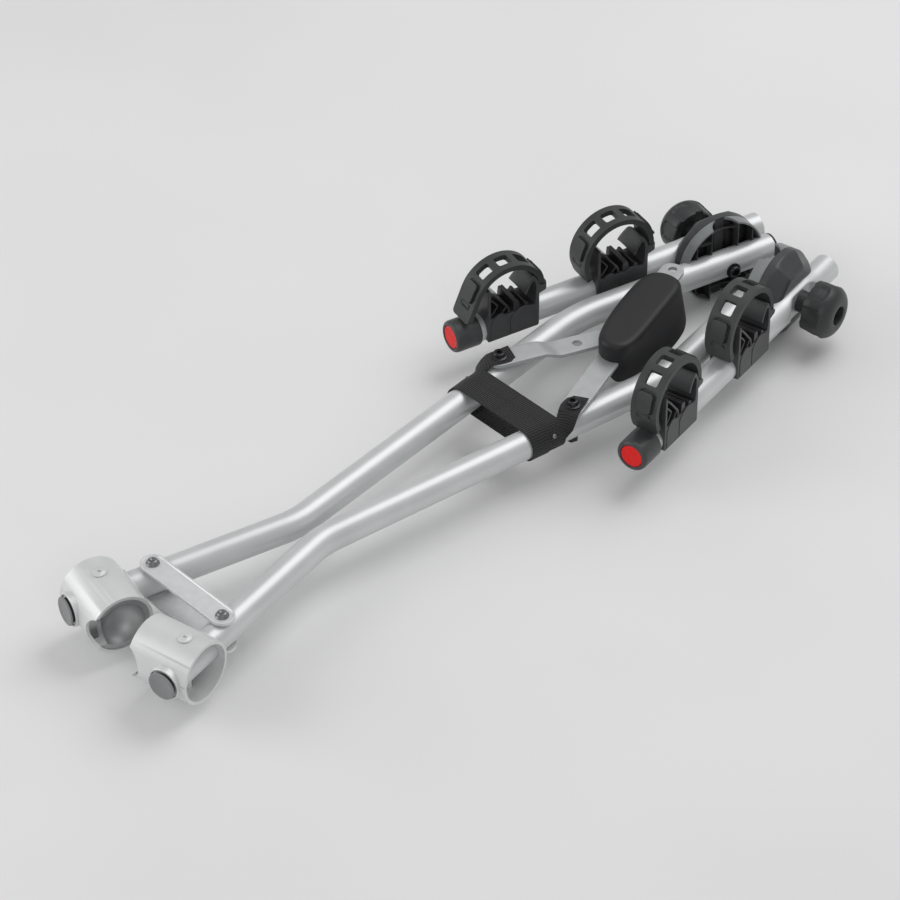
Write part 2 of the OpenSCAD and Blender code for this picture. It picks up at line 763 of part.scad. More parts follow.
// Side profile of a strap: an arc, a leaning tail and a knuckle round the cradle's pin
module strap_profile(rise, lean) {
    mid_z = pin_z + rise;
    pin_turn = asin(rise / (strap_r - strap_t / 2));
    low_r = lean < 0 ? strap_r - strap_t : strap_r;
    tail_len = (mid_z - low_r * sin(lean) - strap_foot_z) / cos(lean);
    far = 2 * strap_r;
    difference() {
        union() {
            translate([strap_mid_s(rise), mid_z]) {
                intersection() {
                    difference() {
                        circle(r = strap_r, $fn = 128);
                        circle(r = strap_r - strap_t, $fn = 128);
                    }
                    polygon([[0, 0], [far * cos(pin_turn), -far * sin(pin_turn)], [far, far], [-far, far],
                             [-far * cos(lean), -far * sin(lean)]]);
                }
                rotate(lean) translate([-strap_r + tail_thin, -tail_len])
                    square([strap_t - 2 * tail_thin, tail_len + 1]);
            }
            translate([pin_s, pin_z]) circle(r = knuckle_r);
        }
        translate([pin_s, pin_z]) circle(r = strap_pin_r + run_fit);
    }
}

// Distance of the arc's centre along the arm, for a rise of that centre above the pin
function strap_mid_s(rise) = pin_s - sqrt(pow(strap_r - strap_t / 2, 2) - pow(rise, 2));

module strap(side, index) {
    rise = pulled(side, index) ? pulled_rise : strap_rise;
    lean = pulled(side, index) ? pulled_lean : strap_lean;
    extra = pulled(side, index) ? pulled_turn : 0;
    color([0.33, 0.36, 0.36]) on_arm(side)
        translate([0, cradle_start(side, index) - cradle_at, 0]) difference() {
            translate([-strap_w / 2, 0, 0]) rotate([90, 0, 90])
                linear_extrude(strap_w) strap_profile(rise, lean);
            for (turn = window_turns)
                translate([0, strap_mid_s(rise), pin_z + rise]) rotate([-turn - extra, 0, 0])
                    translate([-window_w / 2, -strap_r - eps, -window_w / 2])
                    cube([window_w, strap_t + 2 * eps, window_w - 1]);
        }
}

// Knobs

module knob(side) {
    knob_end = knob_start + knob_len;
    color([0.15, 0.15, 0.16]) on_leg(side) translate([arm_x, hinge_y, 0]) difference() {
        union() {
            rod_x(knob_r - knob_lip, knob_start, knob_end);
            for (i = [0 : knob_lobes - 1]) rotate([i * 360 / knob_lobes, 0, 0])
                translate([0, 0, knob_r - knob_lobe_r])
                    rod_x(knob_lobe_r, knob_start + knob_lip, knob_end - knob_lip);
            rod_x(knob_neck_r, crush_w + gap, knob_start + eps);
        }
        rod_x(hinge_bolt_d / 2 + 1, 0, knob_end + eps);
        rod_x(knob_nut_r + seat_fit, knob_start + knob_lip, knob_end + eps);
    }
}

module knob_nut(side) {
    color("goldenrod") on_leg(side) translate([arm_x, hinge_y, 0]) difference() {
        rod_x(knob_nut_r, knob_start + knob_lip + 0.1, knob_start + knob_len - 10);
        rod_x(hinge_bolt_d / 2 + run_fit, knob_start, knob_start + knob_len);
    }
}

// Webbing that ties the folded legs together

// Distance from the leg axis to the middle plane, at a distance below the toggle bolt
function web_run(below) = rest_x - below * sin(bend_angle - fold_angle);

// Loop round the outer half of a leg, with a tab under the toggle bolt's washer
module web_wrap(side) {
    inner_r = tube_r + web_fit;
    color([0.07, 0.07, 0.07]) on_leg(side) translate([toggle_x, toggle_y, 0]) rotate([0, 0, -bend_angle]) {
        difference() {
            rod_y(inner_r + web_t, -web_low, -web_below);
            rod_y(inner_r, -web_low - eps, -web_below + eps);
            translate([-tube_d, -web_low - eps, -tube_d]) cube([tube_d, web_low, 2 * tube_d]);
        }
        difference() {
            translate([-web_tab_w / 2, -web_below, tab_z])
                cube([web_tab_w, web_below + web_tab_over, web_t]);
            rod_z(toggle_bolt_d / 2 + 0.3, 0, tube_d);
        }
    }
}

// Two bands above the tubes and one below, from one leg to the middle of the rack
module web_span(side) {
    z_top = tube_r + web_fit;
    color([0.07, 0.07, 0.07]) stand() mirror([side < 0 ? 1 : 0, 0, 0]) {
        for (band = [0, 1]) translate([0, 0, z_top]) linear_extrude(web_t)
            band_outline(web_below + band * web_step);
        translate([0, 0, -z_top - web_t]) linear_extrude(web_t) band_outline(web_below + web_w / 2);
    }
}

// Outline of one band that starts at a distance below the toggle bolt
module band_outline(below) {
    lean = bend_angle - fold_angle;
    y_high = rest_y - below * cos(lean);
    y_low = y_high - web_w * cos(lean);
    polygon([[gap / 2, y_low], [gap / 2, y_high], [web_run(below) - gap / 2, y_high],
             [web_run(below + web_w) - gap / 2, y_low]]);
}

link_plate_upper();
link_plate_lower();
link_bolts();
link_nuts();
link_washers();
leg_tube(-1);  // leg_tube_a
leg_tube(1);  // leg_tube_b
clamp_sleeve(-1);  // clamp_sleeve_a
clamp_sleeve(1);  // clamp_sleeve_b
ball_cup(-1);  // ball_cup_a
ball_cup(1);  // ball_cup_b
foot_plug(-1);  // foot_plug_a
foot_plug(1);  // foot_plug_b
top_plug(-1);  // top_plug_a
top_plug(1);  // top_plug_b
sleeve_rivet(-1);  // sleeve_rivet_a
sleeve_rivet(1);  // sleeve_rivet_b
toggle_bolt(-1);  // toggle_bolt_a
toggle_bolt(1);  // toggle_bolt_b
toggle_nut(-1);  // toggle_nut_a
toggle_nut(1);  // toggle_nut_b
hinge_bolt(-1);  // hinge_bolt_a
hinge_bolt(1);  // hinge_bolt_b
leg_saddle(-1);  // leg_saddle_a
leg_saddle(1);  // leg_saddle_b
web_wrap(-1);  // web_wrap_a
web_wrap(1);  // web_wrap_b
web_span(-1);  // web_span_a
web_span(1);  // web_span_b
toggle_link();
toggle_lever();
toggle_pin();
grip_cover();
grip_base();
grip_screws();
arm_tube(-1);  // arm_tube_a
arm_tube(1);  // arm_tube_b
arm_saddle(-1);  // arm_saddle_a
arm_saddle(1);  // arm_saddle_b
end_cap(-1);  // end_cap_a
end_cap(1);  // end_cap_b
reflector(-1);  // reflector_a
reflector(1);  // reflector_b
cradle(-1, 0);  // cradle_a1
cradle(-1, 1);  // cradle_a2
cradle(1, 0);  // cradle_b1
cradle(1, 1);  // cradle_b2
cradle_pad(-1, 0);  // cradle_pad_a1
cradle_pad(-1, 1);  // cradle_pad_a2
cradle_pad(1, 0);  // cradle_pad_b1
cradle_pad(1, 1);  // cradle_pad_b2
strap(-1, 0);  // strap_a1
strap(-1, 1);  // strap_a2
strap(1, 0);  // strap_b1
strap(1, 1);  // strap_b2
knob(-1);  // knob_a
knob(1);  // knob_b
knob_nut(-1);  // knob_nut_a
knob_nut(1);  // knob_nut_b
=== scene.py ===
import logging
import math
from dataclasses import dataclass, field
from enum import Enum
from typing import Callable, Iterable, Optional, Sequence, Union

import bmesh
import bpy
from mathutils import Matrix, Vector

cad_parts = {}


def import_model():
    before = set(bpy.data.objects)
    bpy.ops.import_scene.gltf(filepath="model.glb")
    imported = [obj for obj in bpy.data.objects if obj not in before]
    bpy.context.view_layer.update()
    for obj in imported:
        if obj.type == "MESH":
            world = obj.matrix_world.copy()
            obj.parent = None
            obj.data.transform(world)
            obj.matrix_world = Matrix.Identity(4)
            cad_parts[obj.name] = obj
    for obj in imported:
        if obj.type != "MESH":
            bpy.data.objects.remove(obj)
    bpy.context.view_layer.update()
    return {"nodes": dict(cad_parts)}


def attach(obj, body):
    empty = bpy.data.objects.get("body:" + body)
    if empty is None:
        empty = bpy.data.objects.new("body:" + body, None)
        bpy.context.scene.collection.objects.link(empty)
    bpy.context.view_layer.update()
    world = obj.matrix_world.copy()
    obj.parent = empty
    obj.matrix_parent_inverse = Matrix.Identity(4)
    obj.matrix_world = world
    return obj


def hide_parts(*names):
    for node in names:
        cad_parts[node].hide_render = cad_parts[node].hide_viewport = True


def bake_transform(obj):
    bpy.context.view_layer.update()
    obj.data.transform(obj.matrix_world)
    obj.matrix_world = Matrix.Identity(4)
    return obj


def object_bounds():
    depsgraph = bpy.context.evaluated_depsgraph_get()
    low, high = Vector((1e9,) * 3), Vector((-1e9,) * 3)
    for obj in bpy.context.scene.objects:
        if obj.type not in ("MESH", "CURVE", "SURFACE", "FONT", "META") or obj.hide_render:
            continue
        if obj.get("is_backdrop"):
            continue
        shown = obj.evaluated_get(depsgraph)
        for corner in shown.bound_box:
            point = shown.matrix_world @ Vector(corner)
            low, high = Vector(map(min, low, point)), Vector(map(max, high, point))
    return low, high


log = logging.getLogger("rack")

Colour = tuple[float, float, float]
Point2 = tuple[float, float]
Point3 = tuple[float, float, float]


class Side(Enum):
    """The two mirrored halves of the rack."""

    A = -1
    B = 1

    @property
    def tag(self) -> str:
        """Letter that ends the names of this side's nodes."""
        return self.name.lower()


# Where things are


@dataclass(frozen=True)
class Layout:
    """Sizes of the rack in millimetres and degrees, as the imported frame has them."""

    link_pitch: float = 102.4
    top_gap: float = 2.3
    bend: float = 18.9
    foot: float = 95.4
    shin: float = 156.2
    thigh: float = 432.0
    top: float = 243.0
    bend_radii: Point2 = (90.0, 180.0)
    tube_r: float = 15.0
    plug_face: float = 3.0
    sleeve_back: float = 39.0
    toggle_below: float = 123.5
    saddle_r: float = 49.0
    top_past: float = 6.0
    arm_gap: float = 38.0
    arm_reach: float = 317.0
    arm_tail: float = 66.0
    sleeve_in: float = 45.0
    sleeve_r: float = 32.5

    @property
    def knee(self) -> Point2:
        """Second bend of a leg, in the leg's own frame."""
        turn = math.radians(self.bend)
        return self.thigh * math.sin(turn), self.shin + self.thigh * math.cos(turn)

    @property
    def leg_top(self) -> float:
        """Top end of a leg, in the leg's own frame."""
        return self.knee[1] + self.top

    @property
    def fold(self) -> float:
        """Angle at which a leg leans in when folded, in degrees."""
        edge = self.knee[0] - self.tube_r
        reach = math.hypot(edge, self.leg_top)
        lean = math.acos((self.top_gap - self.link_pitch) / 2 / reach) - math.atan2(self.leg_top, edge)
        return math.degrees(lean)

    @property
    def hinge_y(self) -> float:
        """Hinge axis of an arm along its leg."""
        return self.leg_top - self.saddle_r - self.top_past

    @property
    def arm_x(self) -> float:
        """Axis of the arm tube across its leg."""
        return self.knee[0] + self.arm_gap

    @property
    def sleeve_y(self) -> float:
        """Axis of the clamp sleeve along its leg."""
        return self.sleeve_back - self.foot

    @property
    def toggle(self) -> Point2:
        """Toggle bolt in the leg's own frame."""
        turn = math.radians(self.bend)
        run = self.thigh - self.toggle_below
        return run * math.sin(turn), self.shin + run * math.cos(turn)

    @property
    def toggle_len(self) -> float:
        """Distance from a toggle bolt to the pin of the toggle joint."""
        return self.link_pitch / 2 + self.toggle[0]

    @property
    def rest_toggle(self) -> Point2:
        """Toggle bolt of side B when folded, around the middle of the link bolts."""
        lean = math.radians(self.fold)
        x, y = self.toggle
        return (self.link_pitch / 2 + x * math.cos(lean) - y * math.sin(lean),
                x * math.sin(lean) + y * math.cos(lean))

    @property
    def strip_rest(self) -> float:
        """Angle of a toggle strip when folded, in degrees."""
        return math.degrees(math.asin(self.rest_toggle[0] / self.toggle_len))

    @property
    def mid_y(self) -> float:
        """Middle of the folded rack's length, measured from the link bolts."""
        sin, cos = math.sin(math.radians(self.fold)), math.cos(math.radians(self.fold))
        low = min(-self.sleeve_in * sin + (self.sleeve_y - self.sleeve_r) * cos, -self.tube_r * sin - self.foot * cos)
        high = (self.arm_x + self.tube_r) * sin + (self.hinge_y + self.arm_tail) * cos
        return (low + high) / 2

    def stand(self) -> Matrix:
        """Frame around the middle of the link bolts, with millimetres turned to metres."""
        return Matrix.Scale(0.001, 4) @ Matrix.Translation((0, -self.mid_y, self.saddle_r))

    def leg(self, side: Side) -> Matrix:
        """Frame of a leg, mirrored for side A."""
        return (self.stand() @ Matrix.Diagonal((side.value, 1, 1, 1))
                @ Matrix.Translation((self.link_pitch / 2, 0, 0))
                @ Matrix.Rotation(math.radians(self.fold), 4, "Z"))

    def thigh_frame(self, side: Side) -> Matrix:
        """Frame at the toggle bolt, along the middle run of a leg."""
        return (self.leg(side) @ Matrix.Translation((*self.toggle, 0))
                @ Matrix.Rotation(math.radians(-self.bend), 4, "Z"))

    def arm(self, side: Side) -> Matrix:
        """Frame of an arm, with y = 0 at the reflector face."""
        return self.leg(side) @ Matrix.Translation((self.arm_x, self.hinge_y - self.arm_reach, 0))

    def strip(self, side: Side) -> Matrix:
        """Frame of a toggle strip, with its bolt at the origin."""
        x, y = self.rest_toggle
        turn = math.radians(side.value * self.strip_rest)
        return self.stand() @ Matrix.Translation((side.value * x, y, 0)) @ Matrix.Rotation(turn, 4, "Z")


LAY = Layout()


# Shader writing


class Wire:
    """A shader socket that takes part in Python expressions."""

    def __init__(self, recipe: "Recipe", socket: bpy.types.NodeSocket) -> None:
        """Wraps one output socket of a recipe's tree."""
        self.recipe = recipe
        self.socket = socket

    def _math(self, operation: str, *values: "Value") -> "Wire":
        """Adds one Math node and returns its result.

        Args:
            operation: Name of the Math node's operation.
            values: Numbers or wires, in the order of its sockets.

        Returns:
            The node's output.
        """
        node = self.recipe.node("ShaderNodeMath", {"operation": operation}, dict(enumerate(values)))
        return Wire(self.recipe, node.outputs[0])

    def __add__(self, other: "Value") -> "Wire":
        """Sum of both."""
        return self._math("ADD", self, other)

    __radd__ = __add__

    def __mul__(self, other: "Value") -> "Wire":
        """Product of both."""
        return self._math("MULTIPLY", self, other)

    __rmul__ = __mul__

    def __sub__(self, other: "Value") -> "Wire":
        """This less the other."""
        return self._math("SUBTRACT", self, other)

    def __rsub__(self, other: "Value") -> "Wire":
        """The other less this."""
        return self._math("SUBTRACT", other, self)

    def wave(self) -> "Wire":
        """Sine of this value."""
        return self._math("SINE", self)

    def ramp(self, low: float, high: float) -> "Wire":
        """Smooth step from 0 at low to 1 at high."""
        node = self.recipe.node("ShaderNodeMapRange", {"interpolation_type": "SMOOTHSTEP"},
                                {"Value": self, "From Min": low, "From Max": high})
        return Wire(self.recipe, node.outputs["Result"])


Value = Union[float, Wire]


class Recipe:
    """The node tree of one material."""

    def __init__(self, name: str) -> None:
        """Starts an empty material with a Principled shader."""
        self.material = bpy.data.materials.new(name)
        self.material.use_nodes = True
        self.tree = self.material.node_tree
        self.tree.nodes.clear()
        self.output = self.node("ShaderNodeOutputMaterial", {}, {})
        self.shader = self.node("ShaderNodeBsdfPrincipled", {}, {})
        self.tree.links.new(self.shader.outputs[0], self.output.inputs["Surface"])

    def node(self, kind: str, settings: dict, inputs: dict) -> bpy.types.Node:
        """Adds a node.

        Args:
            kind: Type name of the node.
            settings: Properties that are set before its sockets, and "ramp" for colour stops.
            inputs: Values or wires by socket name or number.

        Returns:
            The new node.
        """
        node = self.tree.nodes.new(kind)
        for key, value in settings.items():
            if key == "ramp":
                for index, (place, colour) in enumerate(value):
                    stops = node.color_ramp.elements
                    stop = stops[index] if index < 2 else stops.new(place)
                    stop.position = place
                    stop.color = (*colour, 1)
            else:
                setattr(node, key, value)
        for key, value in inputs.items():
            if isinstance(value, Wire):
                self.tree.links.new(value.socket, node.inputs[key])
            else:
                node.inputs[key].default_value = value
        return node

    def place(self) -> Wire:
        """Object coordinates."""
        return Wire(self, self.node("ShaderNodeTexCoord", {}, {}).outputs["Object"])

    def noise(self, scale: float, detail: float = 2.0, stretch: Point3 = (1, 1, 1)) -> Wire:
        """Noise on Object coordinates.

        Args:
            scale: Features per metre.
            detail: Octaves.
            stretch: Scale along each axis.

        Returns:
            The noise value, about 0.5.
        """
        mapping = self.node("ShaderNodeMapping", {}, {"Vector": self.place(), "Scale": stretch})
        node = self.node("ShaderNodeTexNoise", {},
                         {"Vector": Wire(self, mapping.outputs[0]), "Scale": scale, "Detail": detail})
        return Wire(self, node.outputs["Fac"])

    def blend(self, factor: Wire, low: Colour, high: Colour) -> Wire:
        """Mix of two colours by a factor."""
        node = self.node("ShaderNodeMix", {"data_type": "RGBA"}, {})
        self.tree.links.new(factor.socket, node.inputs[0])
        node.inputs[6].default_value = (*low, 1)
        node.inputs[7].default_value = (*high, 1)
        return Wire(self, node.outputs[2])

    def bump(self, height: Wire, strength: float, distance: float) -> None:
        """Feeds a height into the shader's Normal."""
        node = self.node("ShaderNodeBump", {},
                         {"Height": height, "Strength": strength, "Distance": distance})
        self.tree.links.new(node.outputs[0], self.shader.inputs["Normal"])

    def dress(self, values: dict) -> bpy.types.Material:
        """Sets the shader's sockets and returns the material."""
        for key, value in values.items():
            if isinstance(value, Wire):
                self.tree.links.new(value.socket, self.shader.inputs[key])
            elif isinstance(value, tuple):
                self.shader.inputs[key].default_value = (*value, 1)
            else:
                self.shader.inputs[key].default_value = value
        return self.material


def shade(colour: Colour, factor: float) -> Colour:
    """A colour made lighter or darker by a factor."""
    return tuple(min(1.0, c * factor) for c in colour)


# Finishes


@dataclass(frozen=True)
class Finish:
    """A surface finish, which becomes one material that its pieces share."""

    name: str
    slot: str
    colour: Colour

    def material(self) -> bpy.types.Material:
        """The material, made the first time it is asked for."""
        found = bpy.data.materials.get(self.name)
        return found or self.build(Recipe(self.name))

    def build(self, recipe: Recipe) -> bpy.types.Material:
        """Writes the nodes of this finish."""
        raise NotImplementedError


@dataclass(frozen=True)
class SatinPaint(Finish):
    """Silver paint with a fine flake, soft clouds and a faint orange peel."""

    metallic: float = 0.55
    roughness: float = 0.36

    def build(self, recipe: Recipe) -> bpy.types.Material:
        """Writes the nodes of this finish."""
        cloud = recipe.noise(22, 3)
        flake = recipe.noise(2600, 2)
        scuff = recipe.noise(60, 6, (1, 0.25, 1)).ramp(0.66, 0.76)
        tone = recipe.blend(cloud.ramp(0.3, 0.7) * 0.55 + flake.ramp(0.35, 0.65) * 0.45,
                            shade(self.colour, 0.93), shade(self.colour, 1.06))
        recipe.bump(recipe.noise(900, 2) * 0.6 + flake * 0.4, 0.25, 0.00008)
        return recipe.dress({"Base Color": tone, "Metallic": self.metallic,
                             "Roughness": cloud * 0.08 + scuff * 0.10 + (self.roughness - 0.04),
                             "Coat Weight": 0.15, "Coat Roughness": 0.3})


@dataclass(frozen=True)
class PlatedSteel(Finish):
    """Plated steel strip with fine rolling lines and faint mottling."""

    roughness: float = 0.3
    lines: float = 1.0
    metallic: float = 0.85

    def build(self, recipe: Recipe) -> bpy.types.Material:
        """Writes the nodes of this finish."""
        mottle = recipe.noise(120, 4)
        line = recipe.noise(1500, 2, (1, 0.03, 1))
        tone = recipe.blend(mottle.ramp(0.35, 0.65) * 0.6 + line * 0.4,
                            shade(self.colour, 0.96), shade(self.colour, 1.04))
        recipe.bump(line * self.lines + mottle * 0.5, 0.2, 0.00006)
        return recipe.dress({"Base Color": tone, "Metallic": self.metallic,
                             "Roughness": mottle * 0.16 + (self.roughness - 0.06)})


@dataclass(frozen=True)
class Moulded(Finish):
    """Moulded plastic or rubber with a fine spark-eroded grain."""

    roughness: float = 0.48
    grain: float = 1800.0
    depth: float = 0.35
    sheen: float = 0.0

    def build(self, recipe: Recipe) -> bpy.types.Material:
        """Writes the nodes of this finish."""
        grain = recipe.noise(self.grain, 3)
        cloud = recipe.noise(35, 4)
        dust = recipe.noise(240, 5).ramp(0.58, 0.72)
        tone = recipe.blend(cloud.ramp(0.3, 0.7) * 0.6 + dust * 0.4,
                            shade(self.colour, 0.88), shade(self.colour, 1.16))
        recipe.bump(grain, self.depth, 0.00012)
        return recipe.dress({"Base Color": tone, "Sheen Weight": self.sheen, "Sheen Roughness": 0.5,
                             "Roughness": grain * 0.14 + cloud * 0.08 + (self.roughness - 0.11),
                             "Specular IOR Level": 0.45})


@dataclass(frozen=True)
class BlackOxide(Finish):
    """Dark steel fasteners with worn edges."""

    roughness: float = 0.27

    def build(self, recipe: Recipe) -> bpy.types.Material:
        """Writes the nodes of this finish."""
        wear = recipe.noise(900, 4).ramp(0.5, 0.72)
        tone = recipe.blend(wear, self.colour, shade(self.colour, 2.6))
        recipe.bump(recipe.noise(1400, 3), 0.2, 0.0001)
        return recipe.dress({"Base Color": tone, "Metallic": 0.7,
                             "Roughness": wear * 0.1 + self.roughness})


@dataclass(frozen=True)
class Weave(Finish):
    """Ribbed webbing; its UV map runs along the band in U and across it in V, in millimetres."""

    rib: float = 2.6

    def build(self, recipe: Recipe) -> bpy.types.Material:
        """Writes the nodes of this finish."""
        uv = recipe.node("ShaderNodeUVMap", {"uv_map": "band"}, {})
        split = recipe.node("ShaderNodeSeparateXYZ", {}, {"Vector": Wire(recipe, uv.outputs[0])})
        along, across = (Wire(recipe, split.outputs[i]) for i in (0, 1))
        step = 2 * math.pi / self.rib
        rib = ((along * step).wave() * 0.5 + 0.5).ramp(0.1, 0.8)
        yarn = (across * (step * 1.9)).wave() * 0.5 + 0.5
        cross = rib * 0.75 + yarn * 0.25
        fuzz = recipe.noise(1700, 3)
        tone = recipe.blend(cross * 0.85 + fuzz * 0.25, shade(self.colour, 0.3), shade(self.colour, 2.0))
        recipe.bump(cross + fuzz * 0.2, 1.0, 0.0009)
        return recipe.dress({"Base Color": tone, "Roughness": 0.84 - cross * 0.12,
                             "Sheen Weight": 0.12, "Sheen Roughness": 0.4})


@dataclass(frozen=True)
class Prismatic(Finish):
    """Red reflector plastic with small prisms under a clear face."""

    def build(self, recipe: Recipe) -> bpy.types.Material:
        """Writes the nodes of this finish."""
        cells = recipe.node("ShaderNodeTexVoronoi", {"feature": "DISTANCE_TO_EDGE"},
                            {"Vector": recipe.place(), "Scale": 720.0})
        edge = Wire(recipe, cells.outputs["Distance"]).ramp(0.0, 0.16)
        tone = recipe.blend(edge, shade(self.colour, 0.62), self.colour)
        recipe.bump(edge, 0.35, 0.0002)
        return recipe.dress({"Base Color": tone, "Roughness": 0.28 - edge * 0.08,
                             "Coat Weight": 0.08, "Coat Roughness": 0.15, "Specular IOR Level": 0.2})


TUBE = SatinPaint("tube_silver", "tube_paint", (0.64, 0.655, 0.66), 0.38, 0.38)
SLEEVE = SatinPaint("sleeve_silver", "sleeve_paint", (0.72, 0.73, 0.73), 0.4, 0.46)
STRIP = PlatedSteel("strip_plating", "strip_steel", (0.50, 0.515, 0.52), 0.42, 1.0, 0.5)
PLATE = PlatedSteel("plate_plating", "strip_steel", (0.74, 0.75, 0.755), 0.42, 1.0, 0.5)
CUP = PlatedSteel("cup_plating", "cup_steel", (0.42, 0.435, 0.435), 0.40, 0.4)
DARK_ZINC = PlatedSteel("dark_zinc", "zinc_fastener", (0.22, 0.225, 0.23), 0.34, 0.3)
BLACK_STEEL = BlackOxide("black_oxide", "black_fastener", (0.035, 0.035, 0.038))
NYLON = Moulded("washer_white", "washer_nylon", (0.62, 0.62, 0.60), 0.5)
GRIP = Moulded("grip_charcoal", "black_plastic", (0.011, 0.011, 0.013), 0.50, 1500.0, 0.4)
BLACK = Moulded("black_moulding", "black_plastic", (0.032, 0.034, 0.035), 0.40, 1700.0, 0.2)
SATIN = Moulded("dark_moulding", "dark_plastic", (0.053, 0.055, 0.057), 0.38, 1700.0, 0.2)
# The saddle rim is the same dark plastic as the dome, made far lighter here: painted light on the rim.
LIT_RIM = Moulded("saddle_grey", "dark_plastic", (0.240, 0.255, 0.255), 0.36, 1700.0, 0.2)
# Black plastic made darker still for the floor inside the leg saddle: painted shade deep between the ribs.
SHADED_SADDLE_FLOOR = Moulded("rib_black", "black_plastic", (0.007, 0.006, 0.008), 0.45)
STRAP = Moulded("strap_grey", "strap_rubber", (0.040, 0.0435, 0.0430), 0.48, 1500.0, 0.25)
INSERT = Moulded("insert_rubber", "pad_rubber", (0.026, 0.024, 0.027), 0.27, 1500.0, 0.2)
WEBBING = Weave("ribbed_webbing", "webbing", (0.009, 0.0093, 0.0097))
LENS = Prismatic("reflector_prisms", "reflector_red", (0.92, 0.014, 0.012))
# Grey copy of the dark plastic for the foot plug's head: painted sheen on its black plastic face.
PLUG_SHEEN = Moulded("plug_grey", "dark_plastic", (0.24, 0.245, 0.25), 0.45)
BRASS = PlatedSteel("turned_brass", "brass", (0.62, 0.46, 0.20), 0.28, 0.3)


# Mesh making


def smooth_loop(points: Sequence[Point2], steps: int) -> list[Point2]:
    """Closed smooth curve through control points.

    Args:
        points: Control points of a closed loop.
        steps: Points made for each control point.

    Returns:
        The points of a cubic B-spline.
    """
    made = []
    count = len(points)
    for index in range(count):
        knots = [points[(index + k) % count] for k in range(4)]
        for step in range(steps):
            t = step / steps
            weights = ((1 - t) ** 3 / 6, (3 * t ** 3 - 6 * t ** 2 + 4) / 6,
                       (-3 * t ** 3 + 3 * t ** 2 + 3 * t + 1) / 6, t ** 3 / 6)
            made.append(tuple(sum(w * k[axis] for w, k in zip(weights, knots)) for axis in (0, 1)))
    return made


def rounded_box(width: float, length: float, radius: float, centre: Point2 = (0, 0),
                steps: int = 6) -> list[Point2]:
    """Outline of a rectangle with round corners, counterclockwise.

    Args:
        width: Size in the first direction.
        length: Size in the second direction.
        radius: Corner radius.
        centre: Middle of the rectangle.
        steps: Segments of each corner.

    Returns:
        The outline's points.
    """
    points = []
    for quarter, (sx, sy) in enumerate(((1, 1), (-1, 1), (-1, -1), (1, -1))):
        cx, cy = centre[0] + sx * (width / 2 - radius), centre[1] + sy * (length / 2 - radius)
        for step in range(steps + 1):
            angle = math.pi / 2 * (quarter + step / steps)
            points.append((cx + radius * math.cos(angle), cy + radius * math.sin(angle)))
    return points


def circle(radius: float, centre: Point2 = (0, 0), sides: int = 32) -> list[Point2]:
    """Outline of a circle, counterclockwise."""
    return [(centre[0] + radius * math.cos(2 * math.pi * i / sides),
             centre[1] + radius * math.sin(2 * math.pi * i / sides)) for i in range(sides)]


def inset_loop(points: Sequence[Point2], amount: float) -> list[Point2]:
    """Moves a counterclockwise loop inwards along its normals."""
    made = []
    for index, point in enumerate(points):
        before, after = points[index - 1], points[(index + 1) % len(points)]
        tangent = Vector((after[0] - before[0], after[1] - before[1])).normalized()
        made.append((point[0] - tangent.y * amount, point[1] + tangent.x * amount))
    return made


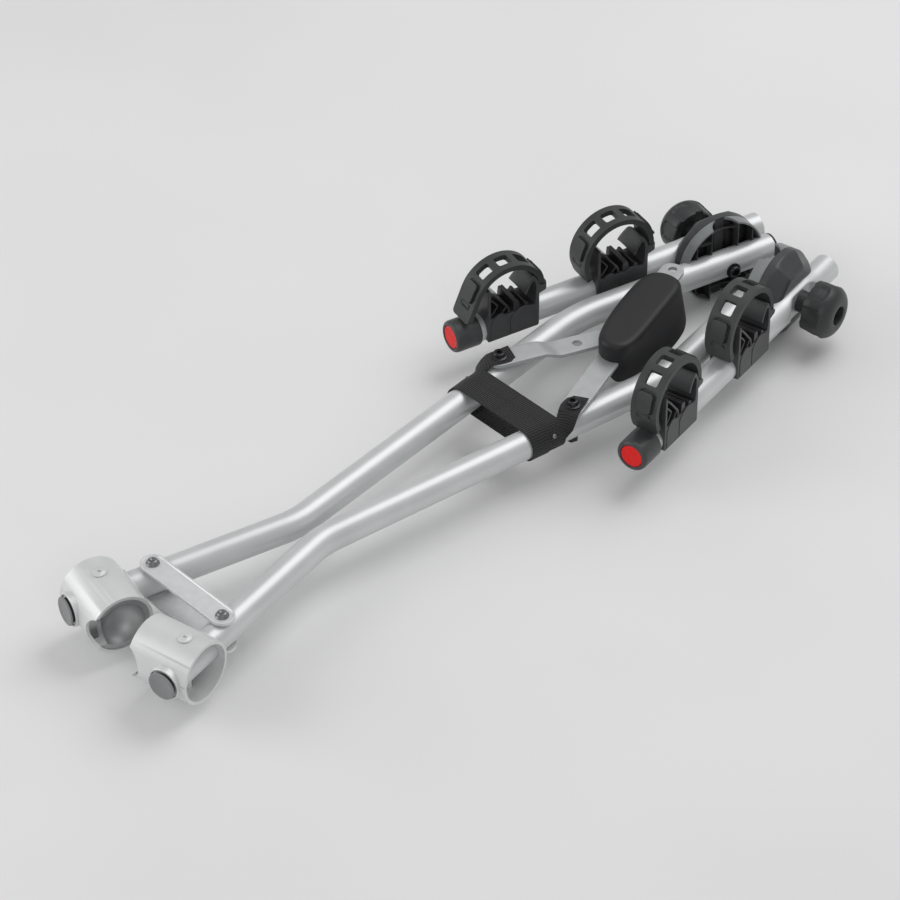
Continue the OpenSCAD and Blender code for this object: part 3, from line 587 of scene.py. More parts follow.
class Shape:
    """A mesh under construction, in millimetres, in the frame that it is drawn in."""

    def __init__(self) -> None:
        """Starts empty."""
        self.bm = bmesh.new()

    def ring(self, points: Iterable[Sequence[float]]) -> list[bmesh.types.BMVert]:
        """Adds a ring of vertices."""
        return [self.bm.verts.new(p) for p in points]

    def skin(self, rings: Sequence[list], closed: bool = True, looped: bool = False) -> None:
        """Joins rings of equal length with quads.

        Args:
            rings: Rings of vertices, one after another.
            closed: Whether each ring closes on itself.
            looped: Whether the last ring joins the first.
        """
        pairs = list(zip(rings, rings[1:])) + ([(rings[-1], rings[0])] if looped else [])
        for one, two in pairs:
            count = len(one)
            for i in range(count if closed else count - 1):
                j = (i + 1) % count
                self.bm.faces.new((one[i], one[j], two[j], two[i]))

    def cap(self, ring: list) -> None:
        """Fills a ring with one face."""
        self.bm.faces.new(ring)

    def lathe(self, profile: Sequence[Point2], place: Matrix = Matrix(), sides: int = 48,
              stretch: Optional[Callable[[float, float], float]] = None) -> "Shape":
        """Turns a profile about Z.

        Args:
            profile: Radius and height of each point; a radius of 0 at an end closes it.
            place: Where the turned body goes.
            sides: Segments round the axis.
            stretch: Factor on the radius by angle and height.

        Returns:
            This shape.
        """
        rings = []
        for radius, height in profile:
            if radius <= 1e-6:
                rings.append([self.bm.verts.new(place @ Vector((0, 0, height)))])
                continue
            ring = []
            for i in range(sides):
                angle = 2 * math.pi * i / sides
                r = radius * (stretch(angle, height) if stretch else 1)
                ring.append(self.bm.verts.new(place @ Vector((r * math.cos(angle), r * math.sin(angle), height))))
            rings.append(ring)
        for one, two in zip(rings, rings[1:]):
            for i in range(sides):
                j = (i + 1) % sides
                if len(one) == 1:
                    self.bm.faces.new((one[0], two[j], two[i]))
                elif len(two) == 1:
                    self.bm.faces.new((one[i], one[j], two[0]))
                else:
                    self.bm.faces.new((one[i], one[j], two[j], two[i]))
        return self

    def prism(self, outline: Sequence[Point2], low: float, high: float, place: Matrix = Matrix(),
              holes: Sequence[Sequence[Point2]] = ()) -> "Shape":
        """Extrudes a flat outline with holes.

        Args:
            outline: Outer loop, counterclockwise.
            low: Height of the bottom.
            high: Height of the top.
            place: Where the extrusion goes.
            holes: Inner loops.

        Returns:
            This shape.
        """
        flat = bmesh.new()
        for loop in (outline, *holes):
            verts = [flat.verts.new((x, y, low)) for x, y in loop]
            for i, vert in enumerate(verts):
                flat.edges.new((vert, verts[(i + 1) % len(verts)]))
        bmesh.ops.triangle_fill(flat, use_beauty=True, use_dissolve=True, edges=flat.edges[:],
                                normal=(0, 0, 1))
        grown = bmesh.ops.extrude_face_region(flat, geom=flat.faces[:])["geom"]
        bmesh.ops.translate(flat, vec=(0, 0, high - low),
                            verts=[v for v in grown if isinstance(v, bmesh.types.BMVert)])
        bmesh.ops.recalc_face_normals(flat, faces=flat.faces[:])
        self._take(flat, place)
        return self

    def _take(self, other: bmesh.types.BMesh, place: Matrix) -> None:
        """Adds another mesh at a place and frees it."""
        other.transform(place)
        scratch = bpy.data.meshes.new("scratch")
        other.to_mesh(scratch)
        other.free()
        self.bm.from_mesh(scratch)
        bpy.data.meshes.remove(scratch)

    def slice(self, axis: int, places: Iterable[float]) -> "Shape":
        """Adds edge loops where planes across an axis cut the mesh."""
        normal = [0.0, 0.0, 0.0]
        normal[axis] = 1.0
        for value in places:
            at = [0.0, 0.0, 0.0]
            at[axis] = value
            bmesh.ops.bisect_plane(self.bm, geom=self.bm.verts[:] + self.bm.edges[:] + self.bm.faces[:],
                                   plane_co=at, plane_no=normal, dist=1e-5)
        return self

    def warp(self, move: Callable[[Vector], Sequence[float]]) -> "Shape":
        """Moves every vertex by a rule."""
        for vert in self.bm.verts:
            vert.co = move(vert.co.copy())
        return self

    def make(self, name: str, place: Matrix = Matrix(), bevel: float = 0.0, angle: float = 32.0,
             segments: int = 2, tidy: bool = True) -> bpy.types.Object:
        """Turns the shape into an object at the origin.

        Args:
            name: Name of the piece.
            place: Frame that the shape was drawn in.
            bevel: Width of the rounding along its edges, in millimetres.
            angle: Edges sharper than this, in degrees, are rounded and stay crisp.
            segments: Segments of the rounding.
            tidy: Whether doubles are merged and normals recalculated.

        Returns:
            The finished object, with no modifiers.
        """
        if tidy:
            bmesh.ops.remove_doubles(self.bm, verts=self.bm.verts[:], dist=1e-4)
            bmesh.ops.recalc_face_normals(self.bm, faces=self.bm.faces[:])
        mesh = bpy.data.meshes.new(name)
        self.bm.to_mesh(mesh)
        self.bm.free()
        piece = bpy.data.objects.new(name, mesh)
        bpy.context.scene.collection.objects.link(piece)
        if bevel:
            round_edges(piece, bevel, angle, segments)
            angle = max(angle, 60.0)
        return settle(piece, place, angle)


def round_edges(piece: bpy.types.Object, width: float, angle: float, segments: int = 2) -> None:
    """Rounds the sharp edges of a piece and bakes that in."""
    bevel = piece.modifiers.new("edge", "BEVEL")
    bevel.width = width
    bevel.segments = segments
    bevel.limit_method = "ANGLE"
    bevel.angle_limit = math.radians(angle)
    bevel.harden_normals = False
    bake(piece)


def settle(piece: bpy.types.Object, place: Matrix, angle: float = 32.0) -> bpy.types.Object:
    """Puts a drawn mesh in its place, turns it the right way out and smooths it.

    Args:
        piece: Object whose mesh is in millimetres, or in metres with an identity place.
        place: Frame that the mesh was drawn in.
        angle: Edges sharper than this, in degrees, stay crisp.

    Returns:
        The same object.
    """
    mesh = piece.data
    mesh.transform(place)
    if place.to_3x3().determinant() < 0:
        mesh.flip_normals()
    mesh.shade_smooth()
    mesh.set_sharp_from_angle(angle=math.radians(angle))
    mesh.update()
    even = piece.modifiers.new("even", "WEIGHTED_NORMAL")
    even.keep_sharp = True
    even.weight = 100
    return bake(piece)


def bake(piece: bpy.types.Object) -> bpy.types.Object:
    """Replaces a piece's mesh by what its modifiers make of it."""
    bpy.context.view_layer.update()
    seen = piece.evaluated_get(bpy.context.evaluated_depsgraph_get())
    mesh = bpy.data.meshes.new_from_object(seen, preserve_all_data_layers=True,
                                           depsgraph=bpy.context.evaluated_depsgraph_get())
    piece.modifiers.clear()
    piece.data = mesh
    return piece


def carve(piece: bpy.types.Object, cutter: bpy.types.Object, operation: str = "DIFFERENCE") -> None:
    """Cuts one object with another and removes the cutter."""
    cut = piece.modifiers.new("cut", "BOOLEAN")
    cut.operation = operation
    cut.solver = "EXACT"
    cut.object = cutter
    bake(piece)
    bpy.data.objects.remove(cutter)


def dress(piece: bpy.types.Object, finish: Finish, body: str, *nodes: str) -> bpy.types.Object:
    """Gives a piece its finish and its body, and hides the nodes that it stands for."""
    piece.data.materials.clear()
    piece.data.materials.append(finish.material())
    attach(piece, body)
    if nodes:
        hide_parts(*nodes)
    log.info("%s rides on %s", piece.name, body)
    return piece


# Geometry Nodes


class Grower:
    """A Geometry Nodes tree built from Python, with named inputs."""

    def __init__(self, name: str, inputs: dict[str, tuple[str, object]]) -> None:
        """Starts a tree.

        Args:
            name: Name of the node group.
            inputs: Socket type and default value of each named input.
        """
        self.tree = bpy.data.node_groups.new(name, "GeometryNodeTree")
        face = self.tree.interface
        face.new_socket("Geometry", in_out="OUTPUT", socket_type="NodeSocketGeometry")
        face.new_socket("Geometry", in_out="INPUT", socket_type="NodeSocketGeometry")
        self.keys = {}
        for label, (kind, value) in inputs.items():
            socket = face.new_socket(label, in_out="INPUT", socket_type=kind)
            if value is not None:
                socket.default_value = value
            self.keys[label] = socket.identifier
        self.start = self.tree.nodes.new("NodeGroupInput")

    def node(self, kind: str, settings: dict, inputs: dict) -> bpy.types.Node:
        """Adds a node; an input is a value, a node's first output or a socket."""
        node = self.tree.nodes.new(kind)
        for key, value in settings.items():
            setattr(node, key, value)
        for key, value in inputs.items():
            if isinstance(value, bpy.types.Node):
                value = value.outputs[0]
            if isinstance(value, bpy.types.NodeSocket):
                self.tree.links.new(value, node.inputs[key])
            else:
                node.inputs[key].default_value = value
        return node

    def end(self, geometry: bpy.types.Node) -> "Grower":
        """Closes the tree with Realize Instances and Set Material."""
        real = self.node("GeometryNodeRealizeInstances", {}, {"Geometry": geometry})
        paint = self.node("GeometryNodeSetMaterial", {},
                          {"Geometry": real, "Material": self.start.outputs["Material"]})
        out = self.tree.nodes.new("NodeGroupOutput")
        self.tree.links.new(paint.outputs[0], out.inputs[0])
        return self

    def grow(self, name: str, seed: bpy.types.Mesh, values: dict, angle: float = 32.0) -> bpy.types.Object:
        """Runs the tree on a mesh and bakes the result.

        Args:
            name: Name of the piece.
            seed: Mesh that the tree starts from, in metres in the row frame.
            values: Values of the named inputs.
            angle: Edges sharper than this, in degrees, stay crisp.

        Returns:
            The finished object.
        """
        piece = bpy.data.objects.new(name, seed)
        bpy.context.scene.collection.objects.link(piece)
        modifier = piece.modifiers.new("grow", "NODES")
        modifier.node_group = self.tree
        for label, value in values.items():
            modifier[self.keys[label]] = value
        bake(piece)
        bmesh_tidy(piece)
        return settle(piece, Matrix(), angle)


def bmesh_tidy(piece: bpy.types.Object) -> None:
    """Merges doubles and turns the faces of a closed mesh outwards."""
    bm = bmesh.new()
    bm.from_mesh(piece.data)
    bmesh.ops.remove_doubles(bm, verts=bm.verts[:], dist=1e-7)
    bmesh.ops.recalc_face_normals(bm, faces=bm.faces[:])
    bm.to_mesh(piece.data)
    bm.free()


def line_mesh(name: str, points: Sequence[Vector]) -> bpy.types.Mesh:
    """A mesh of one open line of edges."""
    mesh = bpy.data.meshes.new(name)
    mesh.from_pydata([tuple(p) for p in points], [(i, i + 1) for i in range(len(points) - 1)], [])
    return mesh


def point_mesh(name: str, points: Sequence[Vector], normals: Sequence[Vector]) -> bpy.types.Mesh:
    """A mesh of loose points that carry the direction in which each copy stands."""
    mesh = bpy.data.meshes.new(name)
    mesh.from_pydata([tuple(p) for p in points], [], [])
    facing = mesh.attributes.new("facing", "FLOAT_VECTOR", "POINT")
    for index, normal in enumerate(normals):
        facing.data[index].vector = normal
    return mesh


def tube_grower() -> Grower:
    """Tree that sweeps a round tube along a line."""
    tree = Grower("tube_run", {"Radius": ("NodeSocketFloat", 0.015), "Sides": ("NodeSocketInt", 64),
                               "Material": ("NodeSocketMaterial", None)})
    line = tree.node("GeometryNodeMeshToCurve", {}, {"Mesh": tree.start.outputs["Geometry"]})
    ring = tree.node("GeometryNodeCurvePrimitiveCircle", {},
                     {"Resolution": tree.start.outputs["Sides"], "Radius": tree.start.outputs["Radius"]})
    swept = tree.node("GeometryNodeCurveToMesh", {}, {"Curve": line, "Profile Curve": ring,
                                                      "Fill Caps": True})
    return tree.end(swept)


def copies_grower() -> Grower:
    """Tree that stands a copy of one small object on each point, along its facing direction."""
    tree = Grower("copies", {"Copy": ("NodeSocketObject", None), "Size": ("NodeSocketFloat", 1.0),
                             "Material": ("NodeSocketMaterial", None)})
    item = tree.node("GeometryNodeObjectInfo", {}, {"Object": tree.start.outputs["Copy"]})
    facing = tree.node("GeometryNodeInputNamedAttribute", {"data_type": "FLOAT_VECTOR"},
                       {"Name": "facing"})
    turn = tree.node("FunctionNodeAlignRotationToVector", {"axis": "Z"}, {"Vector": facing})
    stood = tree.node("GeometryNodeInstanceOnPoints", {},
                      {"Points": tree.start.outputs["Geometry"], "Instance": item.outputs["Geometry"],
                       "Rotation": turn, "Scale": tree.start.outputs["Size"]})
    return tree.end(stood)


def copies(name: str, item: Shape, bevel: float, spots: Sequence[tuple[Vector, Vector]],
           finish: Finish) -> bpy.types.Object:
    """Stands copies of one small shape on spots.

    Args:
        name: Name of the piece.
        item: Shape drawn in millimetres, standing on its origin along +Z.
        bevel: Rounding of its edges in millimetres.
        spots: Place in the row frame and direction of each copy.
        finish: Finish of all copies.

    Returns:
        The piece with all copies.
    """
    model = item.make(name + "_model", Matrix.Scale(0.001, 4), bevel)
    tree = GROWERS.setdefault("copies", None) or copies_grower()
    GROWERS["copies"] = tree
    seed = point_mesh(name, [s[0] for s in spots], [s[1] for s in spots])
    piece = tree.grow(name, seed, {"Copy": model, "Size": 1.0, "Material": finish.material()})
    bpy.data.objects.remove(model)
    return piece


GROWERS: dict[str, Optional[Grower]] = {}


def spot(place: Matrix, at: Point3, along: Point3) -> tuple[Vector, Vector]:
    """A place and a direction in the row frame from those in a drawn frame."""
    return place @ Vector(at), (place.to_3x3() @ Vector(along)).normalized()


# Sub-assemblies


@dataclass
class Legs:
    """The two bent tubes with their plugs."""

    steps: int = 14
    plug_edge: float = 1.2
    plug_gap: float = 3.6
    neck_r: float = 12.6
    past: float = 4.0

    def path(self) -> list[Vector]:
        """Centre line of a leg in its own frame."""
        turn = math.radians(LAY.bend)
        points = [Vector((0, self.plug_gap + 2 - LAY.foot, 0))]
        knee = LAY.knee
        corners = ((Vector((0, LAY.shin, 0)), 0.0, -turn, LAY.bend_radii[0]),
                   (Vector((knee[0], knee[1], 0)), -turn, 0.0, LAY.bend_radii[1]))
        for corner, before, after, radius in corners:
            reach = radius * math.tan(turn / 2)
            start = corner - Vector((-math.sin(before), math.cos(before), 0)) * reach
            for step in range(self.steps + 1):
                if step:
                    heading = before + (after - before) * (step - 0.5) / self.steps
                    chord = 2 * radius * math.sin(turn / self.steps / 2)
                    start = start + Vector((-math.sin(heading), math.cos(heading), 0)) * chord
                points.append(start.copy())
        points.append(Vector((knee[0], LAY.leg_top + self.past - LAY.plug_face, 0)))
        return points

    def build(self) -> None:
        """Makes and dresses both legs."""
        tree = tube_grower()
        for side in Side:
            place = LAY.leg(side)
            seed = line_mesh("leg_line", [place @ p for p in self.path()])
            tube = tree.grow(f"leg_{side.tag}_tube", seed,
                             {"Radius": LAY.tube_r * 0.001, "Sides": 72, "Material": TUBE.material()})
            dress(tube, TUBE, f"leg_{side.tag}", f"leg_tube_{side.tag}")
            # The foot plug's grey head is painted sheen on black plastic.
            self.plug(side, "foot_plug", Vector((0, -LAY.foot, 0)), 1, PLUG_SHEEN)
            self.plug(side, "top_plug", Vector((LAY.knee[0], LAY.leg_top + self.past, 0)), -1, BLACK)

    def plug(self, side: Side, node: str, at: Vector, way: int, finish: Finish) -> None:
        """Makes the visible head of one plug."""
        face, edge = LAY.tube_r - 0.2, self.plug_edge
        place = Matrix.Translation(at) @ Matrix.Rotation(-way * math.pi / 2, 4, "X")
        disc = [(0, 0.6), (face - 4, 0.6), (face - 3.4, 0.1), (face - edge, 0), (face - edge * 0.3, edge * 0.3),
                (face, edge), (face, 1.7), (face - 0.4, 2.0), (0, 2.0)]
        head = Shape().lathe(disc, place, 56).make(f"{node}_{side.tag}_head", LAY.leg(side), angle=40)
        dress(head, finish, f"leg_{side.tag}", f"{node}_{side.tag}")
        neck = [(0, 1.9), (self.neck_r, 1.9), (self.neck_r, 14), (0, 14)]
        stem = Shape().lathe(neck, place, 40).make(f"{node}_{side.tag}_neck", LAY.leg(side))
        dress(stem, BLACK, f"leg_{side.tag}")


@dataclass
class BallClamp:
    """Notched sleeves with their weld collars, rivets and cups."""

    radius: float = 32.5
    wall: float = 3.25
    inner: float = -45.0
    outer: float = 23.0
    notch_r: float = 19.0

    def build(self) -> None:
        """Makes and dresses both clamp ends."""
        for side in Side:
            self.sleeve(side)
            self.rivets(side)

    def sleeve(self, side: Side) -> None:
        """Makes one sleeve, cut for the ball's neck, with the collar round the plug."""
        along_x = Matrix.Translation((0, LAY.sleeve_y, 0)) @ Matrix.Rotation(math.pi / 2, 4, "Y")
        bore = self.radius - self.wall
        pipe = Shape().lathe([(self.radius, self.inner), (self.radius, self.outer), (bore, self.outer),
                              (bore, self.inner), (self.radius, self.inner)], along_x, 112)
        body = pipe.make("sleeve_body")
        neck = Matrix.Translation((-LAY.link_pitch / 2, LAY.sleeve_y, 0)) @ Matrix.Rotation(math.pi / 2, 4, "X")
        carve(body, Shape().lathe([(0, 0), (self.notch_r, 0), (self.notch_r, 60), (0, 60)], neck, 96).make("neck"))
        leg_cut = Matrix.Translation((0, LAY.sleeve_y, 0)) @ Matrix.Rotation(math.pi / 2, 4, "X")
        carve(body, Shape().lathe([(0, -60), (15.2, -60), (15.2, 60), (0, 60)], leg_cut, 72).make("way"))
        round_edges(body, 0.7, 40)
        settle(body, LAY.leg(side), 30)
        body.name = f"sleeve_{side.tag}"
        dress(body, SLEEVE, f"leg_{side.tag}", f"clamp_sleeve_{side.tag}")
        reach = self.radius + 2.5
        ring = Shape().lathe([(15.3, 20), (17.2, 20), (17.2, reach - 0.5), (16.8, reach), (15.7, reach),
                              (15.3, reach - 0.5), (15.3, 20)], leg_cut, 64)
        weld = ring.make(f"weld_collar_{side.tag}", LAY.leg(side))
        dress(weld, SLEEVE, f"leg_{side.tag}")
        bead = Shape()
        rings = []
        for i in range(72):
            angle = 2 * math.pi * i / 72
            centre = Vector((16.4 * math.cos(angle), 0, 16.4 * math.sin(angle)))
            centre.y = LAY.sleeve_y + math.sqrt(self.radius ** 2 - centre.z ** 2) + 0.2
            out = Vector((math.cos(angle), 0, math.sin(angle)))
            swell = 1.7 + 0.10 * math.sin(i * 2.1)
            rings.append(bead.ring(centre + out * (swell * math.cos(a)) + Vector((0, swell * math.sin(a), 0))
                                   for a in (k * math.pi / 4 for k in range(8))))
        bead.skin(rings, looped=True)
        dress(bead.make(f"weld_bead_{side.tag}", LAY.leg(side), angle=60), SLEEVE, f"leg_{side.tag}")

    def rivets(self, side: Side) -> None:
        """Stands the two flanges of the tubular rivet on the sleeve."""
        item = Shape().lathe([(1.8, -3), (4.1, -3), (4.1, -0.1), (7.1, 0.0), (7.4, 0.5), (7.1, 1.1), (4.9, 1.3),
                              (4.3, 1.8), (3.6, 2.0), (2.3, 1.9), (1.8, 1.4), (1.8, -3)], sides=40)
        place = LAY.leg(side)
        spots = [spot(place, (0, LAY.sleeve_y, way * (self.radius - 0.1)), (0, 0, way)) for way in (1, -1)]
        piece = copies(f"rivet_{side.tag}", item, 0.0, spots, SLEEVE)
        dress(piece, SLEEVE, f"leg_{side.tag}", f"sleeve_rivet_{side.tag}")
        centre = Matrix.Translation((0, LAY.sleeve_y, 0))
        liner = Shape().lathe([(1.8, -32), (3.9, -32), (3.9, 32), (1.8, 32), (1.8, -32)], centre, 32)
        dress(liner.make(f"rivet_tube_{side.tag}", LAY.leg(side)), SLEEVE, f"leg_{side.tag}")
        # Black rod in the rivet's bore: a dark piece that stands for the shade deep in the hollow rivet.
        hole_shade = Shape().lathe([(0, -32.2), (1.9, -32.2), (1.9, 32.2), (0, 32.2)], centre, 24)
        dress(hole_shade.make(f"rivet_core_{side.tag}", LAY.leg(side)), BLACK_STEEL, f"leg_{side.tag}")


@dataclass
class LinkPlates:
    """The lipped plates above and below the legs, with their bolts."""

    width: float = 25.0
    thick: float = 3.5
    lift: float = 1.1

    def outline(self, inset: float) -> list[Point2]:
        """Outline of a plate with round ends."""
        return rounded_box(LAY.link_pitch + self.width - 2 * inset, self.width - 2 * inset,
                           self.width / 2 - inset - 0.01, steps=12)

    def build(self) -> None:
        """Makes and dresses plates, bolt heads, nuts and washers."""
        for node, way in (("link_plate_upper", 1), ("link_plate_lower", -1)):
            face = LAY.tube_r + self.lift
            place = LAY.stand() @ Matrix.Diagonal((1, 1, way, 1))
            plate = Shape()
            rows = ((0.0, face), (0.0, face + self.thick), (1.9, face + self.thick), (2.6, face + self.thick - 0.9))
            rings = [plate.ring((x, y, z) for x, y in self.outline(inset)) for inset, z in rows]
            plate.skin(rings)
            plate.cap(rings[-1])
            plate.cap(list(reversed(rings[0])))
            piece = plate.make(node + "_lipped", place, 0.8, 25)
            dress(piece, PLATE, "links", node)
        self.bolts()

    def bolts(self) -> None:
        """Stands domed heads, nuts and washers on the plates."""
        place = LAY.stand()
        top = LAY.tube_r + self.lift + self.thick - 0.9
        ends = [(way * LAY.link_pitch / 2, 0.0) for way in (-1, 1)]
        head = Shape().lathe([(0, -42), (3.9, -42), (3.9, 0.1), (6.5, 0.1), (6.8, 0.4), (6.6, 0.9), (5.9, 1.2),
                              (5.7, 1.8), (5.4, 3.0), (4.6, 4.0), (3.3, 4.5), (2.4, 4.6), (2.0, 4.0), (0, 3.8)],
                             sides=48)
        spots = [spot(place, (x, y, top), (0, 0, 1)) for x, y in ends]
        dress(copies("link_bolt_heads", head, 0.0, spots, DARK_ZINC), DARK_ZINC, "links", "link_bolts")
        nut = Shape().prism(circle(7.2, sides=6), 0.1, 6.0).lathe(
            [(0, 0.1), (4.0, 0.1), (4.0, 8.4), (3.4, 9), (0, 9)], sides=24)
        spots = [spot(place, (x, y, -top - 0.9), (0, 0, -1)) for x, y in ends]
        dress(copies("link_nuts_hex", nut, 0.5, spots, DARK_ZINC), DARK_ZINC, "links", "link_nuts")
        washer = Shape().lathe([(4.2, 0), (10, 0), (10, 0.95), (4.2, 0.95), (4.2, 0)], sides=40)
        spots = [spot(place, (x, y, way * (LAY.tube_r + 0.05)), (0, 0, way)) for x, y in ends for way in (1, -1)]
        dress(copies("link_washer_rings", washer, 0.0, spots, NYLON), NYLON, "links", "link_washers")


@dataclass
class Toggle:
    """Toggle link, lever, bolts and pin."""

    width: float = 25.0
    thick: float = 4.5
    level: float = 16.7
    low_level: float = 10.4
    hole_r: float = 5.0
    tab_hole_r: float = 4.5
    tab_hole_at: float = 248.0
    tab_r: float = 10.5
    tab_lift: float = 4.8
    tab_lift_at: float = 200.0

    def build(self) -> None:
        """Makes and dresses both strips and their fasteners."""
        self.link()
        self.lever()
        for side in Side:
            self.bolt(side)
        pin = Shape().lathe([(0, 15.4), (5, 15.4), (5, 21.3), (8, 21.3), (8, 23.2), (7.2, 24.2), (0, 24.4)],
                            Matrix.Translation((0, LAY.toggle_len, 0)), 40)
        dress(pin.make("toggle_joint_pin", LAY.strip(Side.B)), DARK_ZINC, "toggle_lever", "toggle_pin")

    def link(self) -> None:
        """Makes the jogged link with its lock hole."""
        half, end = self.width / 2, LAY.toggle_len
        outline = [(half * math.cos(a), half * math.sin(a)) for a in
                   (math.pi + math.pi * k / 20 for k in range(21))]
        outline += [(half, end - 8), (9.5, end)]
        outline += [(9.5 * math.cos(a), end + 9.5 * math.sin(a)) for a in (math.pi * k / 16 for k in range(1, 16))]
        outline += [(-9.5, end), (-half, end - 8)]
        holes = [circle(self.hole_r, (0, 87)), circle(5.3, (0, end), 24)]

        def jog(p: Vector) -> Point3:
            """Lowers the strip past its bend lines, leaning as the real one does."""
            start = 42 + p.x * 0.16
            t = min(1, max(0, (p.y - start) / 24))
            t = t * t * (3 - 2 * t)
            return p.x, p.y, p.z + (self.low_level - self.level) * t

        strip = Shape().prism(outline, self.level, self.level + self.thick, holes=holes)
        strip.slice(1, [38 + 1.5 * k for k in range(21)])
        strip.warp(jog)
        piece = strip.make("toggle_link_strip", LAY.strip(Side.A), 0.7, 50)
        dress(piece, STRIP, "toggle_link", "toggle_link")

    def lever(self) -> None:
        """Makes the lever with its rounded lock tab."""
        half, end = self.width / 2, self.tab_hole_at + self.tab_r
        outline = [(half * math.cos(a), half * math.sin(a)) for a in
                   (math.pi + math.pi * k / 20 for k in range(21))]
        outline += [(half * math.cos(a), end - self.tab_r * 1.1 + self.tab_r * 1.1 * math.sin(a))
                    for a in (math.pi * k / 24 for k in range(25))]

        def jog(p: Vector) -> Point3:
            """Lifts the tab past the grip."""
            t = min(1, max(0, (p.y - self.tab_lift_at) / 12))
            return p.x, p.y, p.z + self.tab_lift * t * t * (3 - 2 * t)

        strip = Shape().prism(outline, self.level, self.level + self.thick,
                              holes=[circle(self.tab_hole_r, (0, self.tab_hole_at))])
        strip.slice(1, [self.tab_lift_at - 6 + 2 * k for k in range(13)])
        strip.warp(jog)
        piece = strip.make("toggle_lever_strip", LAY.strip(Side.B), 0.7, 50)
        dress(piece, STRIP, "toggle_lever", "toggle_lever")

    def bolt(self, side: Side) -> None:
        """Makes a socket-head bolt with its washer, shank and nut."""
        base = self.level + self.thick + 1.5
        head = Shape().lathe([(0, -23.5), (3.4, -23.5), (4, -22.8), (4, base), (8.0, base), (8.3, base + 0.35),
                              (8.3, base + 0.9), (7.9, base + 1.3), (6.5, base + 1.5), (6.1, base + 1.9),
                              (6.0, base + 5.0), (5.7, base + 5.9), (5.0, base + 6.4), (3.8, base + 6.4),
                              (3.6, base + 5.8), (3.6, base + 3.0), (0, base + 3.0)], sides=48)
        head.lathe([(4, 15.2), (6, 15.2), (6, self.level - 0.1), (4, self.level - 0.1)], sides=32)
        head.prism(circle(3.9, sides=24), base + 2.8, base + 6.0, holes=[circle(3.1, sides=6)])
        place = LAY.leg(side) @ Matrix.Translation((*LAY.toggle, 0))
        piece = head.make(f"toggle_bolt_{side.tag}_head", place, 0.0, 40)
        dress(piece, BLACK_STEEL, f"leg_{side.tag}", f"toggle_bolt_{side.tag}")
        nut = Shape().prism(circle(7.2, sides=6), -21.1, -15.1, holes=[circle(4.05, sides=24)])
        dress(nut.make(f"toggle_nut_{side.tag}_hex", place, 0.6), BLACK_STEEL, f"leg_{side.tag}",
              f"toggle_nut_{side.tag}")


@dataclass
class Grip:
    """The moulded grip round the toggle joint, lofted from its wide foot to its crest."""

    low: float = -5.0
    open_low: float = 16.6
    brim: float = 36.5
    wall: float = 2.3
    screws_at: float = 95.0
    foot: tuple[Point2, ...] = (
        (4, 82), (-5, 84), (-14, 91), (-19.5, 107), (-22, 130), (-22, 160), (-20.5, 188), (-15, 209), (-4, 219.5),
        (10, 221), (24, 219), (34, 211), (38.5, 196), (39.5, 175), (38, 150), (31, 122), (21, 98), (13, 84))
    crest: tuple[Point2, ...] = (
        (4, 80), (-5, 81.5), (-13.5, 88), (-18, 104), (-20.5, 131), (-20, 165), (-18.5, 192), (-14.5, 210), (-5, 220),
        (9, 221), (21, 217), (28, 209), (29, 195), (28, 172), (27, 145), (26, 118), (24, 97), (17, 83))
    crown: tuple[Point2, ...] = ((0.25, 38.6), (1.0, 40.4), (2.3, 41.9), (4.0, 42.8), (6.0, 43.2), (8.5, 43.3))

    def build(self) -> None:
        """Makes and dresses the shell, its floor and its screws."""
        foot, crest = (list(reversed(smooth_loop(points, 6))) for points in (self.foot, self.crest))
        shape = Shape()
        rings = []
        for step in range(9):
            share = step / 8
            ring = []
            for (w0, s0), (w1, s1) in zip(foot, crest):
                bottom = self.bottom(w0, s0)
                ring.append((w0 + (w1 - w0) * share, s0 + (s1 - s0) * share, bottom + (self.brim - bottom) * share))
            rings.append(shape.ring(ring))
        for inset, z in self.crown:
            rings.append(shape.ring((w, s, z) for w, s in inset_loop(crest, inset)))
        shape.skin(rings)
        shape.cap(rings[-1])
        shell = shape.make("grip_shell", angle=75)
        wall = shell.modifiers.new("wall", "SOLIDIFY")
        wall.thickness = self.wall
        wall.offset = -1
        bake(shell)
        settle(shell, LAY.strip(Side.B), 60)
        dress(shell, GRIP, "toggle_lever", "grip_cover")
        self.base(foot)
        screw = Shape().lathe([(1.1, -0.1), (3.2, -0.1), (3.2, 0.5), (2.4, 1.1), (1.1, 1.1), (1.1, 0.4), (0, 0.4)],
                              sides=28)
        spots = [spot(LAY.strip(Side.B), (w, self.screws_at, self.low), (0, 0, -1)) for w in (-6, 6)]
        dress(copies("grip_screw_heads", screw, 0.0, spots, DARK_ZINC), DARK_ZINC, "toggle_lever", "grip_screws")

    def bottom(self, w: float, s: float) -> float:
        """Lower edge of the shell, which lifts where the link swings in and at its far end."""
        shift = 28 * min(1, max(0, (s - 175) / 25))
        share = min(1, max(0, (w + 12 - shift) / 26))
        return self.open_low + (self.low - self.open_low) * share * share * (3 - 2 * share)

    def base(self, foot: Sequence[Point2]) -> None:
        """Makes the floor with its screw bosses."""
        floor = Shape().prism(inset_loop(foot, 3.0), self.low, self.low + 2.4)
        for w in (-6, 6):
            floor.lathe([(0, -3), (4.5, -3), (4.5, 16.5), (0, 16.5)], Matrix.Translation((w, self.screws_at, 0)), 24)
        base = floor.make("grip_floor", bevel=0.4)
        carve(base, Shape().prism([(-60, 60), (-10.5, 60), (-10.5, 240), (-60, 240)], -10, 20).make("side_cut"))
        settle(base, LAY.strip(Side.B))
        dress(base, GRIP, "toggle_lever", "grip_base")


